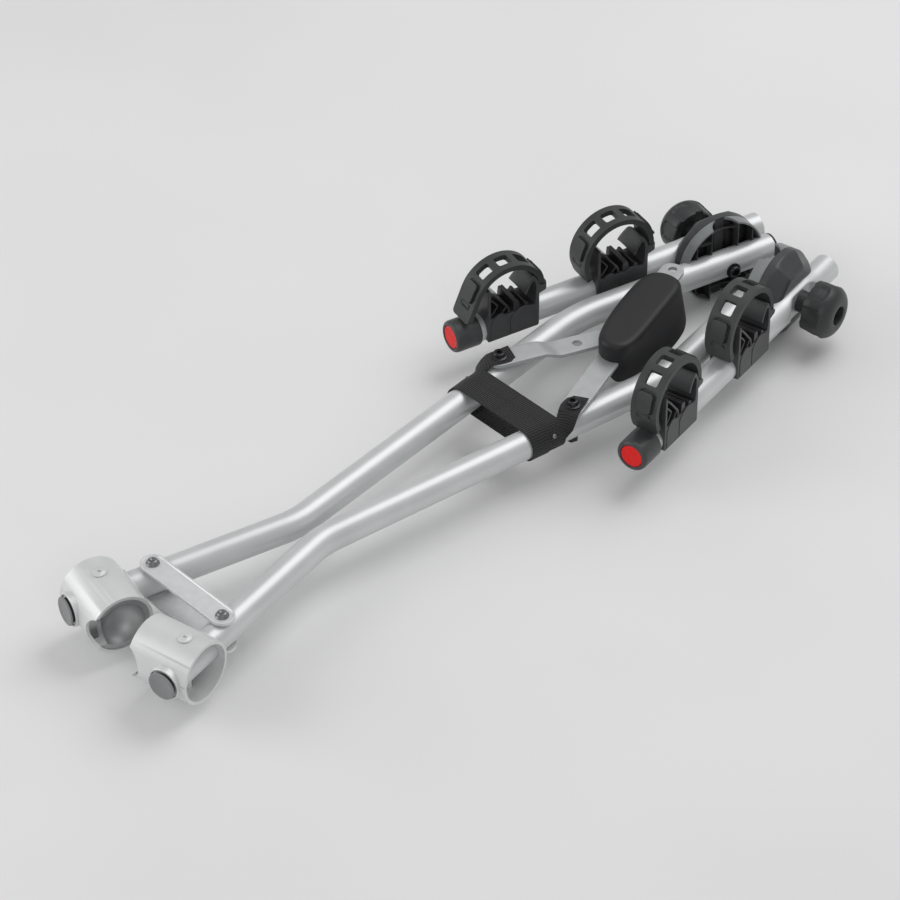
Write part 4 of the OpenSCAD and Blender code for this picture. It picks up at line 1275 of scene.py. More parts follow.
@dataclass
class Webbing:
    """Bands that tie the folded legs together, and the tabs under the toggle bolts."""

    width: float = 21.3
    thick: float = 1.3
    below: float = 20.5
    lap: float = 1.5
    columns: int = 8
    tab_path: tuple[Point3, ...] = (
        (-6.2, 14.0, 21.35), (-3.2, 7.2, 21.35), (0.0, 0.0, 21.35), (3.0, -5.4, 21.35), (5.2, -9.4, 21.0),
        (7.4, -13.0, 19.2), (9.8, -17.0, 16.2), (12.4, -21.4, 12.4), (14.8, -26.0, 8.0), (16.2, -30.6, 3.2),
        (16.4, -35.0, -1.8), (15.4, -38.6, -6.4))

    def build(self) -> None:
        """Makes and dresses the webbing of both sides."""
        for side in Side:
            self.band(side)
            self.tab(side)

    def band(self, side: Side) -> None:
        """Makes two bands over and one under, from the middle round the outside of a leg."""
        shape = Shape()
        uv = shape.bm.loops.layers.uv.new("band")
        to_leg = LAY.thigh_frame(side)
        for start, lift, one_below in ((self.below, 0.0, False), (self.below + self.width - self.lap, 0.8, False),
                                       (self.below + self.width / 2, 0.0, True)):
            self.strip(shape, uv, to_leg, start, lift, one_below)
        piece = shape.make(f"web_band_{side.tag}", angle=50)
        piece.data.materials.append(WEBBING.material())
        inner, outer = 0.004 * side.value, (to_leg @ Vector((-4, -self.below - 20, 0))).x
        y = (to_leg @ Vector((0, -self.below - 20, 0))).y
        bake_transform(piece)
        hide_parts(f"web_wrap_{side.tag}", f"web_span_{side.tag}")

    def strip(self, shape: Shape, uv: bmesh.types.BMLayerItem, to_leg: Matrix, start: float, lift: float,
              under: bool) -> None:
        """Lays one band as a closed thin shell.

        Args:
            shape: Mesh that it is added to.
            uv: Layer for the weave.
            to_leg: Frame of the leg's middle run.
            start: Distance of its upper edge below the toggle bolt.
            lift: Height above the tube.
            under: Whether its span passes below the legs.
        """
        radius = LAY.tube_r + 0.15 + lift
        columns = self.columns
        rows: list[tuple[float, Callable[[float, float], Vector]]] = []
        flip = -1 if under else 1
        for step in range(13):
            t = step / 12
            rows.append((t * 50, self._span(to_leg, radius, flip, t)))
        turns = 26 if not under else 9
        for step in range(1, turns + 1):
            angle = math.pi * step / 26
            rows.append((50 + radius * angle, self._wrap(to_leg, radius, flip, angle)))
        grid_out, grid_in = [], []
        for _, rule in rows:
            grid_out.append([shape.bm.verts.new(rule(-start - self.width * c / columns, self.thick))
                             for c in range(columns + 1)])
            grid_in.append([shape.bm.verts.new(rule(-start - self.width * c / columns, 0.0))
                            for c in range(columns + 1)])
        self.shell(shape, uv, [row[0] for row in rows], grid_out, grid_in)

    def shell(self, shape: Shape, uv: bmesh.types.BMLayerItem, distance: Sequence[float],
              grid_out: Sequence, grid_in: Sequence) -> None:
        """Closes a thin band between its outer and inner grids of points.

        Args:
            shape: Mesh that it is added to.
            uv: Layer for the weave.
            distance: Place of each row along the band.
            grid_out: Rows of points on the outer face.
            grid_in: Rows of points on the inner face.
        """
        last = len(distance) - 1
        for i in range(last):
            for c in range(self.columns):
                for grid in (grid_out, grid_in):
                    corners = (grid[i][c], grid[i][c + 1], grid[i + 1][c + 1], grid[i + 1][c])
                    self._face(shape, uv, corners, [(distance[i], c), (distance[i], c + 1),
                                                    (distance[i + 1], c + 1), (distance[i + 1], c)])
            for c in (0, self.columns):
                corners = (grid_out[i][c], grid_out[i + 1][c], grid_in[i + 1][c], grid_in[i][c])
                self._face(shape, uv, corners, [(distance[i], c), (distance[i + 1], c), (distance[i + 1], c),
                                                (distance[i], c)])
        for i in (0, last):
            for c in range(self.columns):
                corners = (grid_out[i][c], grid_out[i][c + 1], grid_in[i][c + 1], grid_in[i][c])
                self._face(shape, uv, corners, [(distance[i], c), (distance[i], c + 1), (distance[i], c + 1),
                                                (distance[i], c)])

    def _face(self, shape: Shape, uv: bmesh.types.BMLayerItem, corners: Sequence, places: Sequence) -> None:
        """Adds a face with the weave's coordinates in millimetres."""
        face = shape.bm.faces.new(corners)
        for loop, (along, column) in zip(face.loops, places):
            loop[uv].uv = (along, column * self.width / self.columns)

    def _span(self, to_leg: Matrix, radius: float, flip: int, t: float) -> Callable[[float, float], Vector]:
        """Rule for a row of the flat span at a share of the way to the leg."""

        def rule(along: float, lift: float) -> Vector:
            """Point at a distance along the leg and above the tube."""
            end = to_leg @ Vector((0, along, flip * (radius + lift)))
            return Vector((math.copysign(0.0002, end.x) * (1 - t) + end.x * t, end.y, end.z))
        return rule

    def _wrap(self, to_leg: Matrix, radius: float, flip: int, angle: float) -> Callable[[float, float], Vector]:
        """Rule for a row of the part that goes round the leg."""

        def rule(along: float, lift: float) -> Vector:
            """Point at a distance along the leg and above the tube."""
            r = radius + lift
            return to_leg @ Vector((r * math.sin(angle), along, flip * r * math.cos(angle)))
        return rule

    def laid(self, p: Vector, lift: float) -> Vector:
        """Draws a point of the tab onto the tube, the more so the further it is from the toggle strip."""
        radius = math.hypot(p.x, p.z)
        share = min(1, max(0, (-12 - p.y) / 9))
        scale = (radius + (LAY.tube_r + 0.2 - radius) * share * share * (3 - 2 * share) + lift) / radius
        return Vector((p.x * scale, p.y, p.z * scale))

    def tab(self, side: Side) -> None:
        """Makes the tab that climbs round the leg, over the strip and under the bolt's washer."""
        shape = Shape()
        uv = shape.bm.loops.layers.uv.new("band")
        path = [Vector(p) for p in self.tab_path]
        half = self.width / 2
        distance, outer, inner, run = [], [], [], 0.0
        for index, here in enumerate(path):
            before, after = path[max(index - 1, 0)], path[min(index + 1, len(path) - 1)]
            run += (here - before).length
            distance.append(run)
            across = (after - before).cross(Vector((here.x, 0, here.z + 5))).normalized() * half
            line = [here + across * (2 * c / self.columns - 1) for c in range(self.columns + 1)]
            outer.append([shape.bm.verts.new(self.laid(p, self.thick)) for p in line])
            inner.append([shape.bm.verts.new(self.laid(p, 0.0)) for p in line])
        self.shell(shape, uv, distance, outer, inner)
        piece = shape.make(f"web_tab_{side.tag}", LAY.thigh_frame(side), 0.3, 40)
        dress(piece, WEBBING, f"leg_{side.tag}")
        stud = Shape().lathe([(2.2, -1), (2.4, 0.2), (1.6, 0.9), (0, 1.0)], sides=24)
        spots = [spot(LAY.thigh_frame(side), (14.9, -33.7, 8.0), (0.88, 0, 0.47))]
        dress(copies(f"web_stud_{side.tag}", stud, 0.0, spots, DARK_ZINC), DARK_ZINC, f"leg_{side.tag}")


ACROSS = Matrix(((0, 0, 1, 0), (1, 0, 0, 0), (0, 1, 0, 0), (0, 0, 0, 1)))


@dataclass
class Hinge:
    """Round saddles, hinge bolts and knobs."""

    radius: float = LAY.saddle_r
    split: float = 4.0
    shell_thick: float = 13.0
    dome_thick: float = 24.0
    gap: float = 0.3
    rib_places: tuple[float, ...] = (-35.0, -16.5, 16.5, 35.0)
    shelf: float = 36.0

    def build(self) -> None:
        """Makes and dresses both hinges."""
        for side in Side:
            self.leg_half(side)
            self.arm_half(side)
            self.bolt(side)
            Knob().build(side)

    def channel(self, away: float, radius: float, turned: bool = False) -> bpy.types.Object:
        """Cutter along a tube at a distance from a half's flat face, or square to it."""
        place = Matrix.Translation((away, 0, 0))
        if not turned:
            place = place @ Matrix.Rotation(math.pi / 2, 4, "X")
        return Shape().lathe([(0, -60), (radius, -60), (radius, 60), (0, 60)], place, 72).make("channel")

    def leg_half(self, side: Side) -> None:
        """Makes the round shell on the leg, with crossing channels and thin ribs on its open side."""
        across = LAY.knee[0] + LAY.arm_gap / 2 - self.gap / 2 - self.split
        place = LAY.leg(side) @ Matrix.Translation((across, LAY.hinge_y, 0)) @ Matrix.Diagonal((-1, 1, 1, 1))
        r, t = self.radius, self.shell_thick
        near = LAY.arm_gap / 2 - self.gap / 2 - self.split
        upright = Matrix.Rotation(math.pi / 2, 4, "Y")
        rim = Shape().lathe([(r - 3.2, 0.1), (r - 0.3, 0), (r, 0.3), (r, t - 1.0), (r - 0.3, t - 0.3), (r - 0.9, t),
                             (r - 1.9, t), (r - 2.3, t - 0.5), (r - 3.2, 0.1)], upright, 120).make("saddle_rim")
        floor = Shape().lathe([(0, 0.2), (r - 3.0, 0.2), (r - 3.0, 2.0), (34.6, 2.0), (34.0, 3.4), (0, 3.4)],
                              upright, 96).make("saddle_floor")
        inside = Shape()
        for y in self.rib_places:
            reach = math.sqrt((r - 2.6) ** 2 - y * y)
            self.wall(inside, (t - 0.4, 1.5, 2 * reach), (0.0, y, 0.0))
        inner, outer = self.rib_places[2], self.rib_places[3] - 4
        for y in (-1, 1):
            for z in (-1, 1):
                self.wall(inside, (t - 0.4, outer - inner, 1.5), (0.0, y * (inner + outer) / 2, z * self.shelf * 0.86))
        grid = inside.make("saddle_ribs")
        for piece, name in ((rim, "rim"), (floor, "floor"), (grid, "ribs")):
            carve(piece, self.channel(near, LAY.tube_r + 0.1))
            carve(piece, self.channel(near, LAY.tube_r + 0.8, True))
            round_edges(piece, 0.3, 40)
            settle(piece, place, 50)
            piece.name = f"leg_saddle_{side.tag}_{name}"
        # The rim's light grey is painted light; the rim is the same dark plastic as the dome.
        dress(rim, LIT_RIM, f"leg_{side.tag}", f"leg_saddle_{side.tag}")
        # The floor's near black is painted shade in the saddle's hollow, over its black plastic.
        dress(floor, SHADED_SADDLE_FLOOR, f"leg_{side.tag}")
        dress(grid, SATIN, f"leg_{side.tag}")
        shelf = Shape()
        edge = [(inner * k / 8, 3.2 + 4.6 * (k / 8) ** 2) for k in range(8, -9, -1)]
        swap = Matrix(((0, 1, 0, 0), (1, 0, 0, 0), (0, 0, 1, 0), (0, 0, 0, 1)))
        for z in (-1, 1):
            shelf.prism([(-inner, 1.0), (inner, 1.0)] + edge, z * self.shelf - 0.8, z * self.shelf + 0.8, swap)
        dress(shelf.make(f"leg_saddle_{side.tag}_shelf", place, 0.3, 50), SATIN, f"leg_{side.tag}")

    def wall(self, shape: Shape, size: Point3, centre: Point3) -> None:
        """Adds a wall that stands on the plane x = 0.5, by its size and its centre in y and z."""
        shape.prism(rounded_box(size[1], size[2], 0.3, (centre[1], centre[2]), 1), 0.5, size[0], ACROSS)

    def arm_half(self, side: Side) -> None:
        """Makes the faceted dome on the arm."""
        place = LAY.leg(side) @ Matrix.Translation(
            (LAY.knee[0] + LAY.arm_gap / 2 + self.gap / 2 - self.split, LAY.hinge_y, 0))
        r, t = self.radius, self.dome_thick

        def facets(angle: float, height: float) -> float:
            """Factor that turns the round rim into broad facets higher up."""
            sector = math.pi / 4
            local = ((angle + sector / 2) % sector) - sector / 2
            share = min(1, max(0, (height - 7) / 7))
            return 1 + (math.cos(sector / 2) / math.cos(local) * 1.05 - 1) * share * share * (3 - 2 * share)

        dome = Shape().lathe([(0, 0), (r - 0.3, 0), (r, 0.3), (r, 7.4), (r - 0.4, 8.8), (r - 1.6, 10.4),
                              (r - 4.4, 13.2), (r - 7.4, 16.2), (r - 10.2, 19.2), (r - 12.4, 21.6), (r - 14.6, 23.2),
                              (r - 18, t), (0, t)], Matrix.Rotation(math.pi / 2, 4, "Y"), 160, facets)
        body = dome.make("saddle_dome")
        carve(body, self.channel(LAY.arm_gap / 2 - self.gap / 2 + self.split, LAY.tube_r + 0.1))
        for turned in (False, True):
            carve(body, self.channel(self.split - LAY.arm_gap / 2 - self.gap / 2, LAY.tube_r + 0.3, turned))
        body.name = f"arm_saddle_{side.tag}_dome"
        settle(body, place, 28)
        dress(body, SATIN, f"arm_{side.tag}", f"arm_saddle_{side.tag}")

    def bolt(self, side: Side) -> None:
        """Makes the hinge bolt with its socket head against the leg."""
        place = LAY.leg(side) @ Matrix.Translation((0, LAY.hinge_y, 0)) @ Matrix.Rotation(math.pi / 2, 4, "Y")
        head = LAY.knee[0] - LAY.tube_r - 0.1
        end = LAY.arm_x + 44
        shape = Shape().lathe([(0, head - 2.4), (3.9, head - 2.4), (3.9, head - 5.3), (4.6, head - 5.9),
                               (5.6, head - 5.6), (6.3, head - 4.7), (6.5, head - 3.6), (6.5, head - 1.1),
                               (8.3, head - 0.9), (8.3, head + 0.6), (4, head + 0.6), (4, end - 1), (3.2, end),
                               (0, end)], place, 40)
        shape.prism(circle(4.2, sides=24), head - 5.4, head - 2.2, place, [circle(3.3, sides=6)])
        piece = shape.make(f"hinge_bolt_{side.tag}_steel", angle=40)
        dress(piece, BLACK_STEEL, f"leg_{side.tag}", f"hinge_bolt_{side.tag}")


@dataclass
class Knob:
    """Rounded knob with broad pressed panels and a brass nut deep in its bore."""

    radius: float = 29.5
    start: float = 22.4
    length: float = 31.6
    panels: int = 6
    phase: float = math.radians(46)

    def build(self, side: Side) -> None:
        """Makes and dresses one knob."""
        place = LAY.leg(side) @ Matrix.Translation((LAY.arm_x, LAY.hinge_y, 0)) @ Matrix.Rotation(
            math.pi / 2, 4, "Y")
        r, a, b = self.radius, self.start, self.start + self.length

        def panel(angle: float, height: float) -> float:
            """Factor that presses broad panels into the half of the rim that faces the arm."""
            wave = 0.5 - 0.5 * math.cos(self.panels * (angle - self.phase))
            flat = min(1, max(0, (wave - 0.21) / 0.13))
            ends = min(1, max(0, (a + 21.5 - 3.5 * (1 - wave) - height) / 2.0))
            return 1 - 0.085 * flat * flat * (3 - 2 * flat) * ends * min(1, max(0, (height - a + 1.5) / 1.5))

        profile = [(5, 8), (12, 8), (12, a + 6), (r - 4.0, a + 6), (r - 3.2, a + 0.5), (r - 2.4, a),
                   (r - 1.4, a + 0.3), (r - 0.8, a + 1.2)]
        profile += [(r - 0.8 + 0.1 * k, a + 1.2 + 0.85 * k) for k in range(1, 9)]
        profile += [(r, a + 8 + (b - a - 23) * k / 8) for k in range(1, 9)]
        profile += [(r - 15 * (1 - math.cos(math.pi / 2 * k / 14)), b - 15 + 15 * math.sin(math.pi / 2 * k / 14))
                    for k in range(1, 15)]
        profile += [(12.6, b), (11.2, b), (10.6, b - 0.4), (10.3, b - 1.2), (10.0, b - 14), (5, b - 14), (5, 8)]
        body = Shape().lathe(profile, Matrix(), 196, panel).make(f"knob_{side.tag}_body", place, angle=42)
        dress(body, BLACK, f"knob_{side.tag}", f"knob_{side.tag}")
        nut = Shape().lathe([(4.1, a + 9), (9.6, a + 9), (9.6, b - 13.2), (9.0, b - 12.8), (4.6, b - 12.8),
                             (4.1, b - 13.2), (4.1, a + 9)], Matrix(), 40)
        dress(nut.make(f"knob_nut_{side.tag}_ring", place), BRASS, f"knob_{side.tag}", f"knob_nut_{side.tag}")


@dataclass
class Arm:
    """Arm tube with its end cap and reflector."""

    cap_r: float = 17.5
    cap_len: float = 30.0
    crush: float = 7.0

    def build(self) -> None:
        """Makes and dresses both arms with their cradles and straps."""
        for side in Side:
            self.tube(side)
            self.cap(side)
            for index in (0, 1):
                Cradle().build(side, index)
                Strap.on(side, index).build(side, index)

    def tube(self, side: Side) -> None:
        """Makes the tube, pressed flat on its outer side at the hinge."""
        shape = Shape()
        rings = []
        end = LAY.arm_reach + LAY.arm_tail
        places = [4.0] + [20.0 + 12 * k for k in range(20)] + [LAY.arm_reach + d for d in range(-52, 53, 3)]
        places = sorted(p for p in places if p < end - 12) + [end - 10, end]

        def ring_at(y: float, r: float) -> list:
            """Ring of the tube at a place along it."""
            near = abs(y - LAY.arm_reach)
            press = 1 - min(1, max(0, (near - 14) / 22))
            press = press * press * (3 - 2 * press)
            limit = LAY.tube_r + (self.crush - LAY.tube_r) * press
            points = []
            for i in range(72):
                angle = 2 * math.pi * i / 72
                x, z = r * math.cos(angle), r * math.sin(angle)
                z *= 1 + 0.09 * press
                points.append((min(x, limit - 0.25 * (LAY.tube_r - r)), y, z))
            return shape.ring(points)

        for y in places:
            rings.append(ring_at(y, LAY.tube_r))
        for y in (end, end - 30):
            rings.append(ring_at(y, LAY.tube_r - 2))
        shape.skin(rings)
        shape.cap(rings[-1])
        shape.cap(rings[0])
        piece = shape.make(f"arm_{side.tag}_tube", LAY.arm(side), 0.0, 32)
        dress(piece, TUBE, f"arm_{side.tag}", f"arm_tube_{side.tag}")

    def cap(self, side: Side) -> None:
        """Makes the rounded end cap and the dotted reflector in it."""
        turn = Matrix.Rotation(-math.pi / 2, 4, "X")
        r = self.cap_r
        profile = [(0, 2.7), (12.6, 2.7), (12.65, 0.9), (13.1, 0.25), (13.9, 0.0), (15.2, 0.35), (16.4, 1.2),
                   (17.1, 2.5), (r, 4.6), (r, self.cap_len - 1.2), (r - 0.5, self.cap_len - 0.3),
                   (r - 1.2, self.cap_len), (15.05, self.cap_len), (15.05, 4.2), (0, 4.2)]
        cap = Shape().lathe(profile, turn, 80).make(f"end_cap_{side.tag}_cup", LAY.arm(side), angle=40)
        dress(cap, SATIN, f"arm_{side.tag}", f"end_cap_{side.tag}")
        disc = Shape().lathe([(0, 0.75), (10.8, 0.75), (12.1, 0.95), (12.45, 1.5), (12.45, 2.5), (0, 2.5)], turn, 64)
        lens = disc.make(f"reflector_{side.tag}_lens", LAY.arm(side), angle=40)
        dress(lens, LENS, f"arm_{side.tag}", f"reflector_{side.tag}")
        dot = Shape().lathe([(0.5, -0.05), (0.42, 0.1), (0, 0.16)], sides=8)
        spots = []
        for row in range(-6, 7):
            for column in range(-6, 7):
                x, z = column * 1.75 + (0.875 if row % 2 else 0), row * 1.52
                if math.hypot(x, z) < 10.2:
                    spots.append(spot(LAY.arm(side), (x, 0.75, z), (0, -1, 0)))
        dress(copies(f"reflector_{side.tag}_dots", dot, 0.0, spots, LENS), LENS, f"arm_{side.tag}")


def row_at(side: Side, index: int) -> float:
    """Distance of a cradle behind the first one of its arm."""
    return index * (134.0 if side is Side.A else 140.0)


def ribbon(points: Sequence[Point2], thick: float) -> list[Point2]:
    """Outline of a band of even thickness on the right of a line of points."""
    edge = []
    for index, point in enumerate(points):
        before, after = points[max(index - 1, 0)], points[min(index + 1, len(points) - 1)]
        way = Vector((after[0] - before[0], after[1] - before[1])).normalized()
        edge.append((point[0] + way.y * thick, point[1] - way.x * thick))
    return list(points) + list(reversed(edge))


@dataclass
class Cradle:
    """Cradle body with its far flap and ribbed insert."""

    at: float = 36.0
    length: float = 62.0
    width: float = 34.0
    pin: Point2 = (102.9, 36.0)
    near_top: float = 57.0
    floor: float = 18.0

    def build(self, side: Side, index: int) -> None:
        """Makes and dresses one cradle."""
        tag = f"{side.tag}{index + 1}"
        place = LAY.arm(side) @ Matrix.Translation((0, self.at + row_at(side, index), 0))
        half = self.width / 2
        end = self.length
        outline = [(0, -8.4), (0.5, -9.6), (1.6, -10.2), (end - 1.8, -10.2), (end - 0.6, -9.5), (end, -8.2),
                   (end, 41), (end - 0.5, 44), (end - 2.6, 48.6), (end - 5.2, 53.2), (end - 6.8, 54.6),
                   (end - 8.4, 53.6), (end - 11.6, 49.8), (end - 14.6, 44.6), (end - 16.6, 39.6), (end - 17.6, 35.8),
                   (end - 16.4, 34.6), (end - 15.2, 35.6), (end - 13.6, 40), (end - 11.0, 44.6), (end - 8.2, 48.6),
                   (end - 5.6, 48), (end - 4.4, 44.5), (end - 4.0, 40), (end - 4.0, 26), (end - 5.4, self.floor),
                   (3.4, self.floor), (3.2, self.near_top - 4), (2.6, self.near_top - 1), (1.6, self.near_top),
                   (0.5, self.near_top - 1.4), (0, self.near_top - 5)]
        shape = Shape().prism(outline, -half, half, ACROSS).slice(0, [k * 1.5 - half for k in range(1, 23)])

        def tongue(p: Vector) -> Point3:
            """Rounds the far corner of the flap, seen along it."""
            over = max(0.0, -side.value * p.x - 2) if p.y > end - 18.5 and p.z > 34 else 0.0
            drop = 15 - math.sqrt(max(0.0, 225 - over * over))
            return p.x, p.y, p.z - drop * (p.z - 34) / 20.6

        body = shape.warp(tongue).make("cradle_body", bevel=0.7, angle=35)
        carve(body, Shape().lathe([(0, -80), (15.1, -80), (15.1, 10), (0, 10)],
                                  Matrix.Rotation(math.pi / 2, 4, "X"), 64).make("tube_cut"))
        settle(body, place, 40)
        body.name = f"cradle_{tag}_body"
        dress(body, SATIN, f"arm_{side.tag}", f"cradle_{tag}")
        self.ears(side, tag, place)
        self.insert(side, tag, place)

    def ears(self, side: Side, tag: str, place: Matrix) -> None:
        """Makes the two ears with the catch pin between them, and the seams of the clamping half."""
        s, z = self.pin[0] - self.at, self.pin[1]
        ear = [(self.length - 1.5, z - 5.5), (s, z - 3.4)]
        ear += [(s + 3.4 * math.cos(a), z + 3.4 * math.sin(a)) for a in
                (-math.pi / 2 + math.pi * k / 10 for k in range(1, 11))]
        ear += [(self.length - 1.5, z + 5.5)]
        shape = Shape()
        for low in (-17.3, 15.4):
            shape.prism(ear, low, low + 1.9, ACROSS)
        turn = Matrix.Translation((0, s, z)) @ Matrix.Rotation(math.pi / 2, 4, "Y")
        shape.lathe([(0, -16.8), (2.5, -16.8), (2.5, 16.8), (0, 16.8)], turn, 24)
        for low in (-17.7, 15.9):
            for first, last, crest in ((3.6, 25.5, 22.4), (27.0, self.length - 2.5, 21.4)):
                hump = [(first + (last - first) * k / 12, 11.5 + (crest - 11.5) * math.sin(math.pi * k / 12) ** 0.7)
                        for k in range(12, -1, -1)]
                shape.prism([(first, -8.6), (last, -8.6)] + hump, low, low + 1.8, ACROSS)
        dress(shape.make(f"cradle_{tag}_ears", place, 0.4, 40), SATIN, f"arm_{side.tag}")

    def insert(self, side: Side, tag: str, place: Matrix) -> None:
        """Makes the soft insert: thin folded ribs and two ridges that run across the arm."""
        shape = Shape()
        ribs = [([(3.4, 53.5), (8.6, 48.8), (15.4, 40.4), (21.6, 32.4), (24.8, 28.4), (26.4, 24.2), (26.6, 17.4)], 2.4),
                ([(3.4, 44.6), (8.2, 39.2), (12.6, 33.6), (11.4, 30.2), (8.4, 26.0), (3.4, 21.6)], 1.9),
                ([(14.0, 18.0), (17.4, 23.6), (22.0, 28.8)], 1.8)]
        for points, thick in ribs:
            shape.prism(ribbon(points, thick), -16.4, 16.4, ACROSS)
        shape.prism([(3.4, 17.2), (57.6, 17.2), (57.6, 19.2), (3.4, 19.2)], -16.4, 16.4, ACROSS)
        shape.prism([(30.4, 18.4), (39.0, 18.4), (37.6, 28.6), (36.9, 30.2), (35.8, 30.6), (34.4, 29.9),
                     (33.0, 30.6), (31.8, 30.3), (31.2, 29.0)], -16.4, 16.4, ACROSS)
        shape.prism([(42.6, 18.4), (51.6, 18.4), (48.4, 24.2), (47.2, 25.0), (45.8, 24.8), (44.8, 23.8)],
                    -16.4, 16.4, ACROSS)
        piece = shape.make(f"cradle_{tag}_insert", place, 0.3, 40)
        dress(piece, INSERT, f"arm_{side.tag}", f"cradle_pad_{tag}")


@dataclass
class Strap:
    """Rubber strap over a cradle, drawn flat and then bent over its arch."""

    width: float = 30.0
    thick: float = 6.0
    radius: float = 43.0
    pin: Point2 = (102.9, 36.0)
    rise: float = 5.0
    lean: float = 20.0
    extra: float = 0.0
    foot_z: float = 16.8
    window_turns: tuple[float, ...] = (53.0, 84.0, 115.0)

    @classmethod
    def on(cls, side: Side, index: int) -> "Strap":
        """The strap of one cradle; the first of arm A is pulled over the end cap."""
        return cls(rise=-3.0, lean=-22.0, extra=6.0, foot_z=20.6) if (side, index) == (Side.A, 0) else cls()

    @property
    def mid(self) -> float:
        """Radius of the arch at half its thickness."""
        return self.radius - self.thick / 2

    @property
    def centre(self) -> Point2:
        """Centre of the arch along the arm and in height."""
        return self.pin[0] - math.sqrt(self.mid ** 2 - self.rise ** 2), self.pin[1] + self.rise

    @property
    def tail(self) -> float:
        """Length of the straight tail."""
        lean = math.radians(self.lean)
        return (self.centre[1] - self.radius * math.sin(lean) - self.foot_z) / math.cos(lean)

    @property
    def arch(self) -> float:
        """Length of the arch along its middle."""
        return self.mid * (math.pi + math.radians(self.lean) + math.asin(self.rise / self.mid))

    def along(self, turn: float) -> float:
        """Distance from the foot to a turn in degrees, counted from the level of the arch's centre."""
        return self.tail + self.mid * math.radians(self.lean + self.extra + turn)

    def bend(self, p: Vector) -> Point3:
        """Bends a point drawn flat: x across, y along from the foot, z above the mid-line."""
        s, z = self.centre
        beyond = p.y - self.tail
        turn = math.pi + math.radians(self.lean) - min(max(beyond, 0), self.arch) / self.mid
        out = Vector((math.cos(turn), math.sin(turn)))
        along = Vector((math.sin(turn), -math.cos(turn)))
        bent = Vector((s, z)) + out * (self.mid + p.z) + along * (min(beyond, 0) + max(beyond - self.arch, 0))
        return p.x, bent.x, bent.y

    def build(self, side: Side, index: int) -> None:
        """Makes and dresses one strap."""
        tag = f"{side.tag}{index + 1}"
        place = LAY.arm(side) @ Matrix.Translation((0, row_at(side, index), 0))
        half, h = self.width / 2, self.thick / 2
        total = self.tail + self.arch + 4.0
        foot = [(-half + 4, 0.2), (half - 4, 0.2), (half - 1.6, 0.9), (half - 0.3, 2.6), (half, 5)]
        head = [(half, total - 4), (half - 1.2, total - 1.2), (half - 4, total)]
        outline = foot + head + [(-x, y) for x, y in reversed(head)] + [(-x, y) for x, y in reversed(foot)][:-2]
        holes = [rounded_box(14.6, 14.4, 2.2, (0, self.along(turn)), 4) for turn in self.window_turns]
        slices = [k * 2.5 for k in range(1, int(total / 2.5) + 1)]
        shape = Shape().prism(outline, -h, h, holes=holes).slice(1, slices).warp(self.bend)
        body = shape.make(f"strap_{tag}_band", place, 1.4, 40, 3)
        mirror = side.value
        pad = (self.along(4.0) + self.along(33.0)) / 2
        tall = self.along(33.0) - self.along(4.0)
        groove = Shape().prism(rounded_box(20.6, tall + 3.2, 5.0, (1.2 * mirror, pad + 0.9), 6), h - 2.2, h + 4)
        slot = Shape().prism(rounded_box(16.5, 6.2, 2.2, (0.6 * mirror, pad - tall / 2 - 5.6), 4), h - 2.4, h + 4)
        for cutter, name in ((groove, "groove"), (slot, "slot")):
            carve(body, self.bent(cutter, name, place, slices, 0.0))
        body.name = f"strap_{tag}_band"
        settle(body, Matrix(), 55)
        dress(body, STRAP, f"strap_{tag}", f"strap_{tag}")
        trim = Shape().prism(rounded_box(17.4, tall, 4.2, (-0.6 * mirror, pad - 0.4), 6), h - 2.4, h + 1.7)
        trim.prism(rounded_box(13.0, 3.4, 1.4, (-0.4 * mirror, pad - tall / 2 - 4.8), 4), h - 2.6, h - 0.4)
        buckle = (self.along(140.0) + self.along(168.0)) / 2
        deep = self.along(168.0) - self.along(140.0)
        trim.prism(rounded_box(25, deep, 3.0, (0, buckle), 5), h - 1, h + 1.6)
        trim.prism(rounded_box(21, deep - 7, 2.4, (0, buckle - 0.6), 5), h - 1, h + 2.4)
        trim.prism(rounded_box(26, 3.4, 1.5, (0, buckle + deep / 2 - 1.4), 4), h - 1, h + 2.9)
        trim.prism(rounded_box(28, 7.6, 2.6, (0, total - 4.6), 4), h - 1, h + 2.2)
        piece = self.bent(trim, f"strap_{tag}_trim", place, slices, 0.8)
        dress(piece, STRAP, f"strap_{tag}")

    def bent(self, shape: Shape, name: str, place: Matrix, slices: Sequence[float], bevel: float) -> bpy.types.Object:
        """Bends a shape drawn flat and makes it a piece."""
        return shape.slice(1, slices).warp(self.bend).make(name, place, bevel, 40)


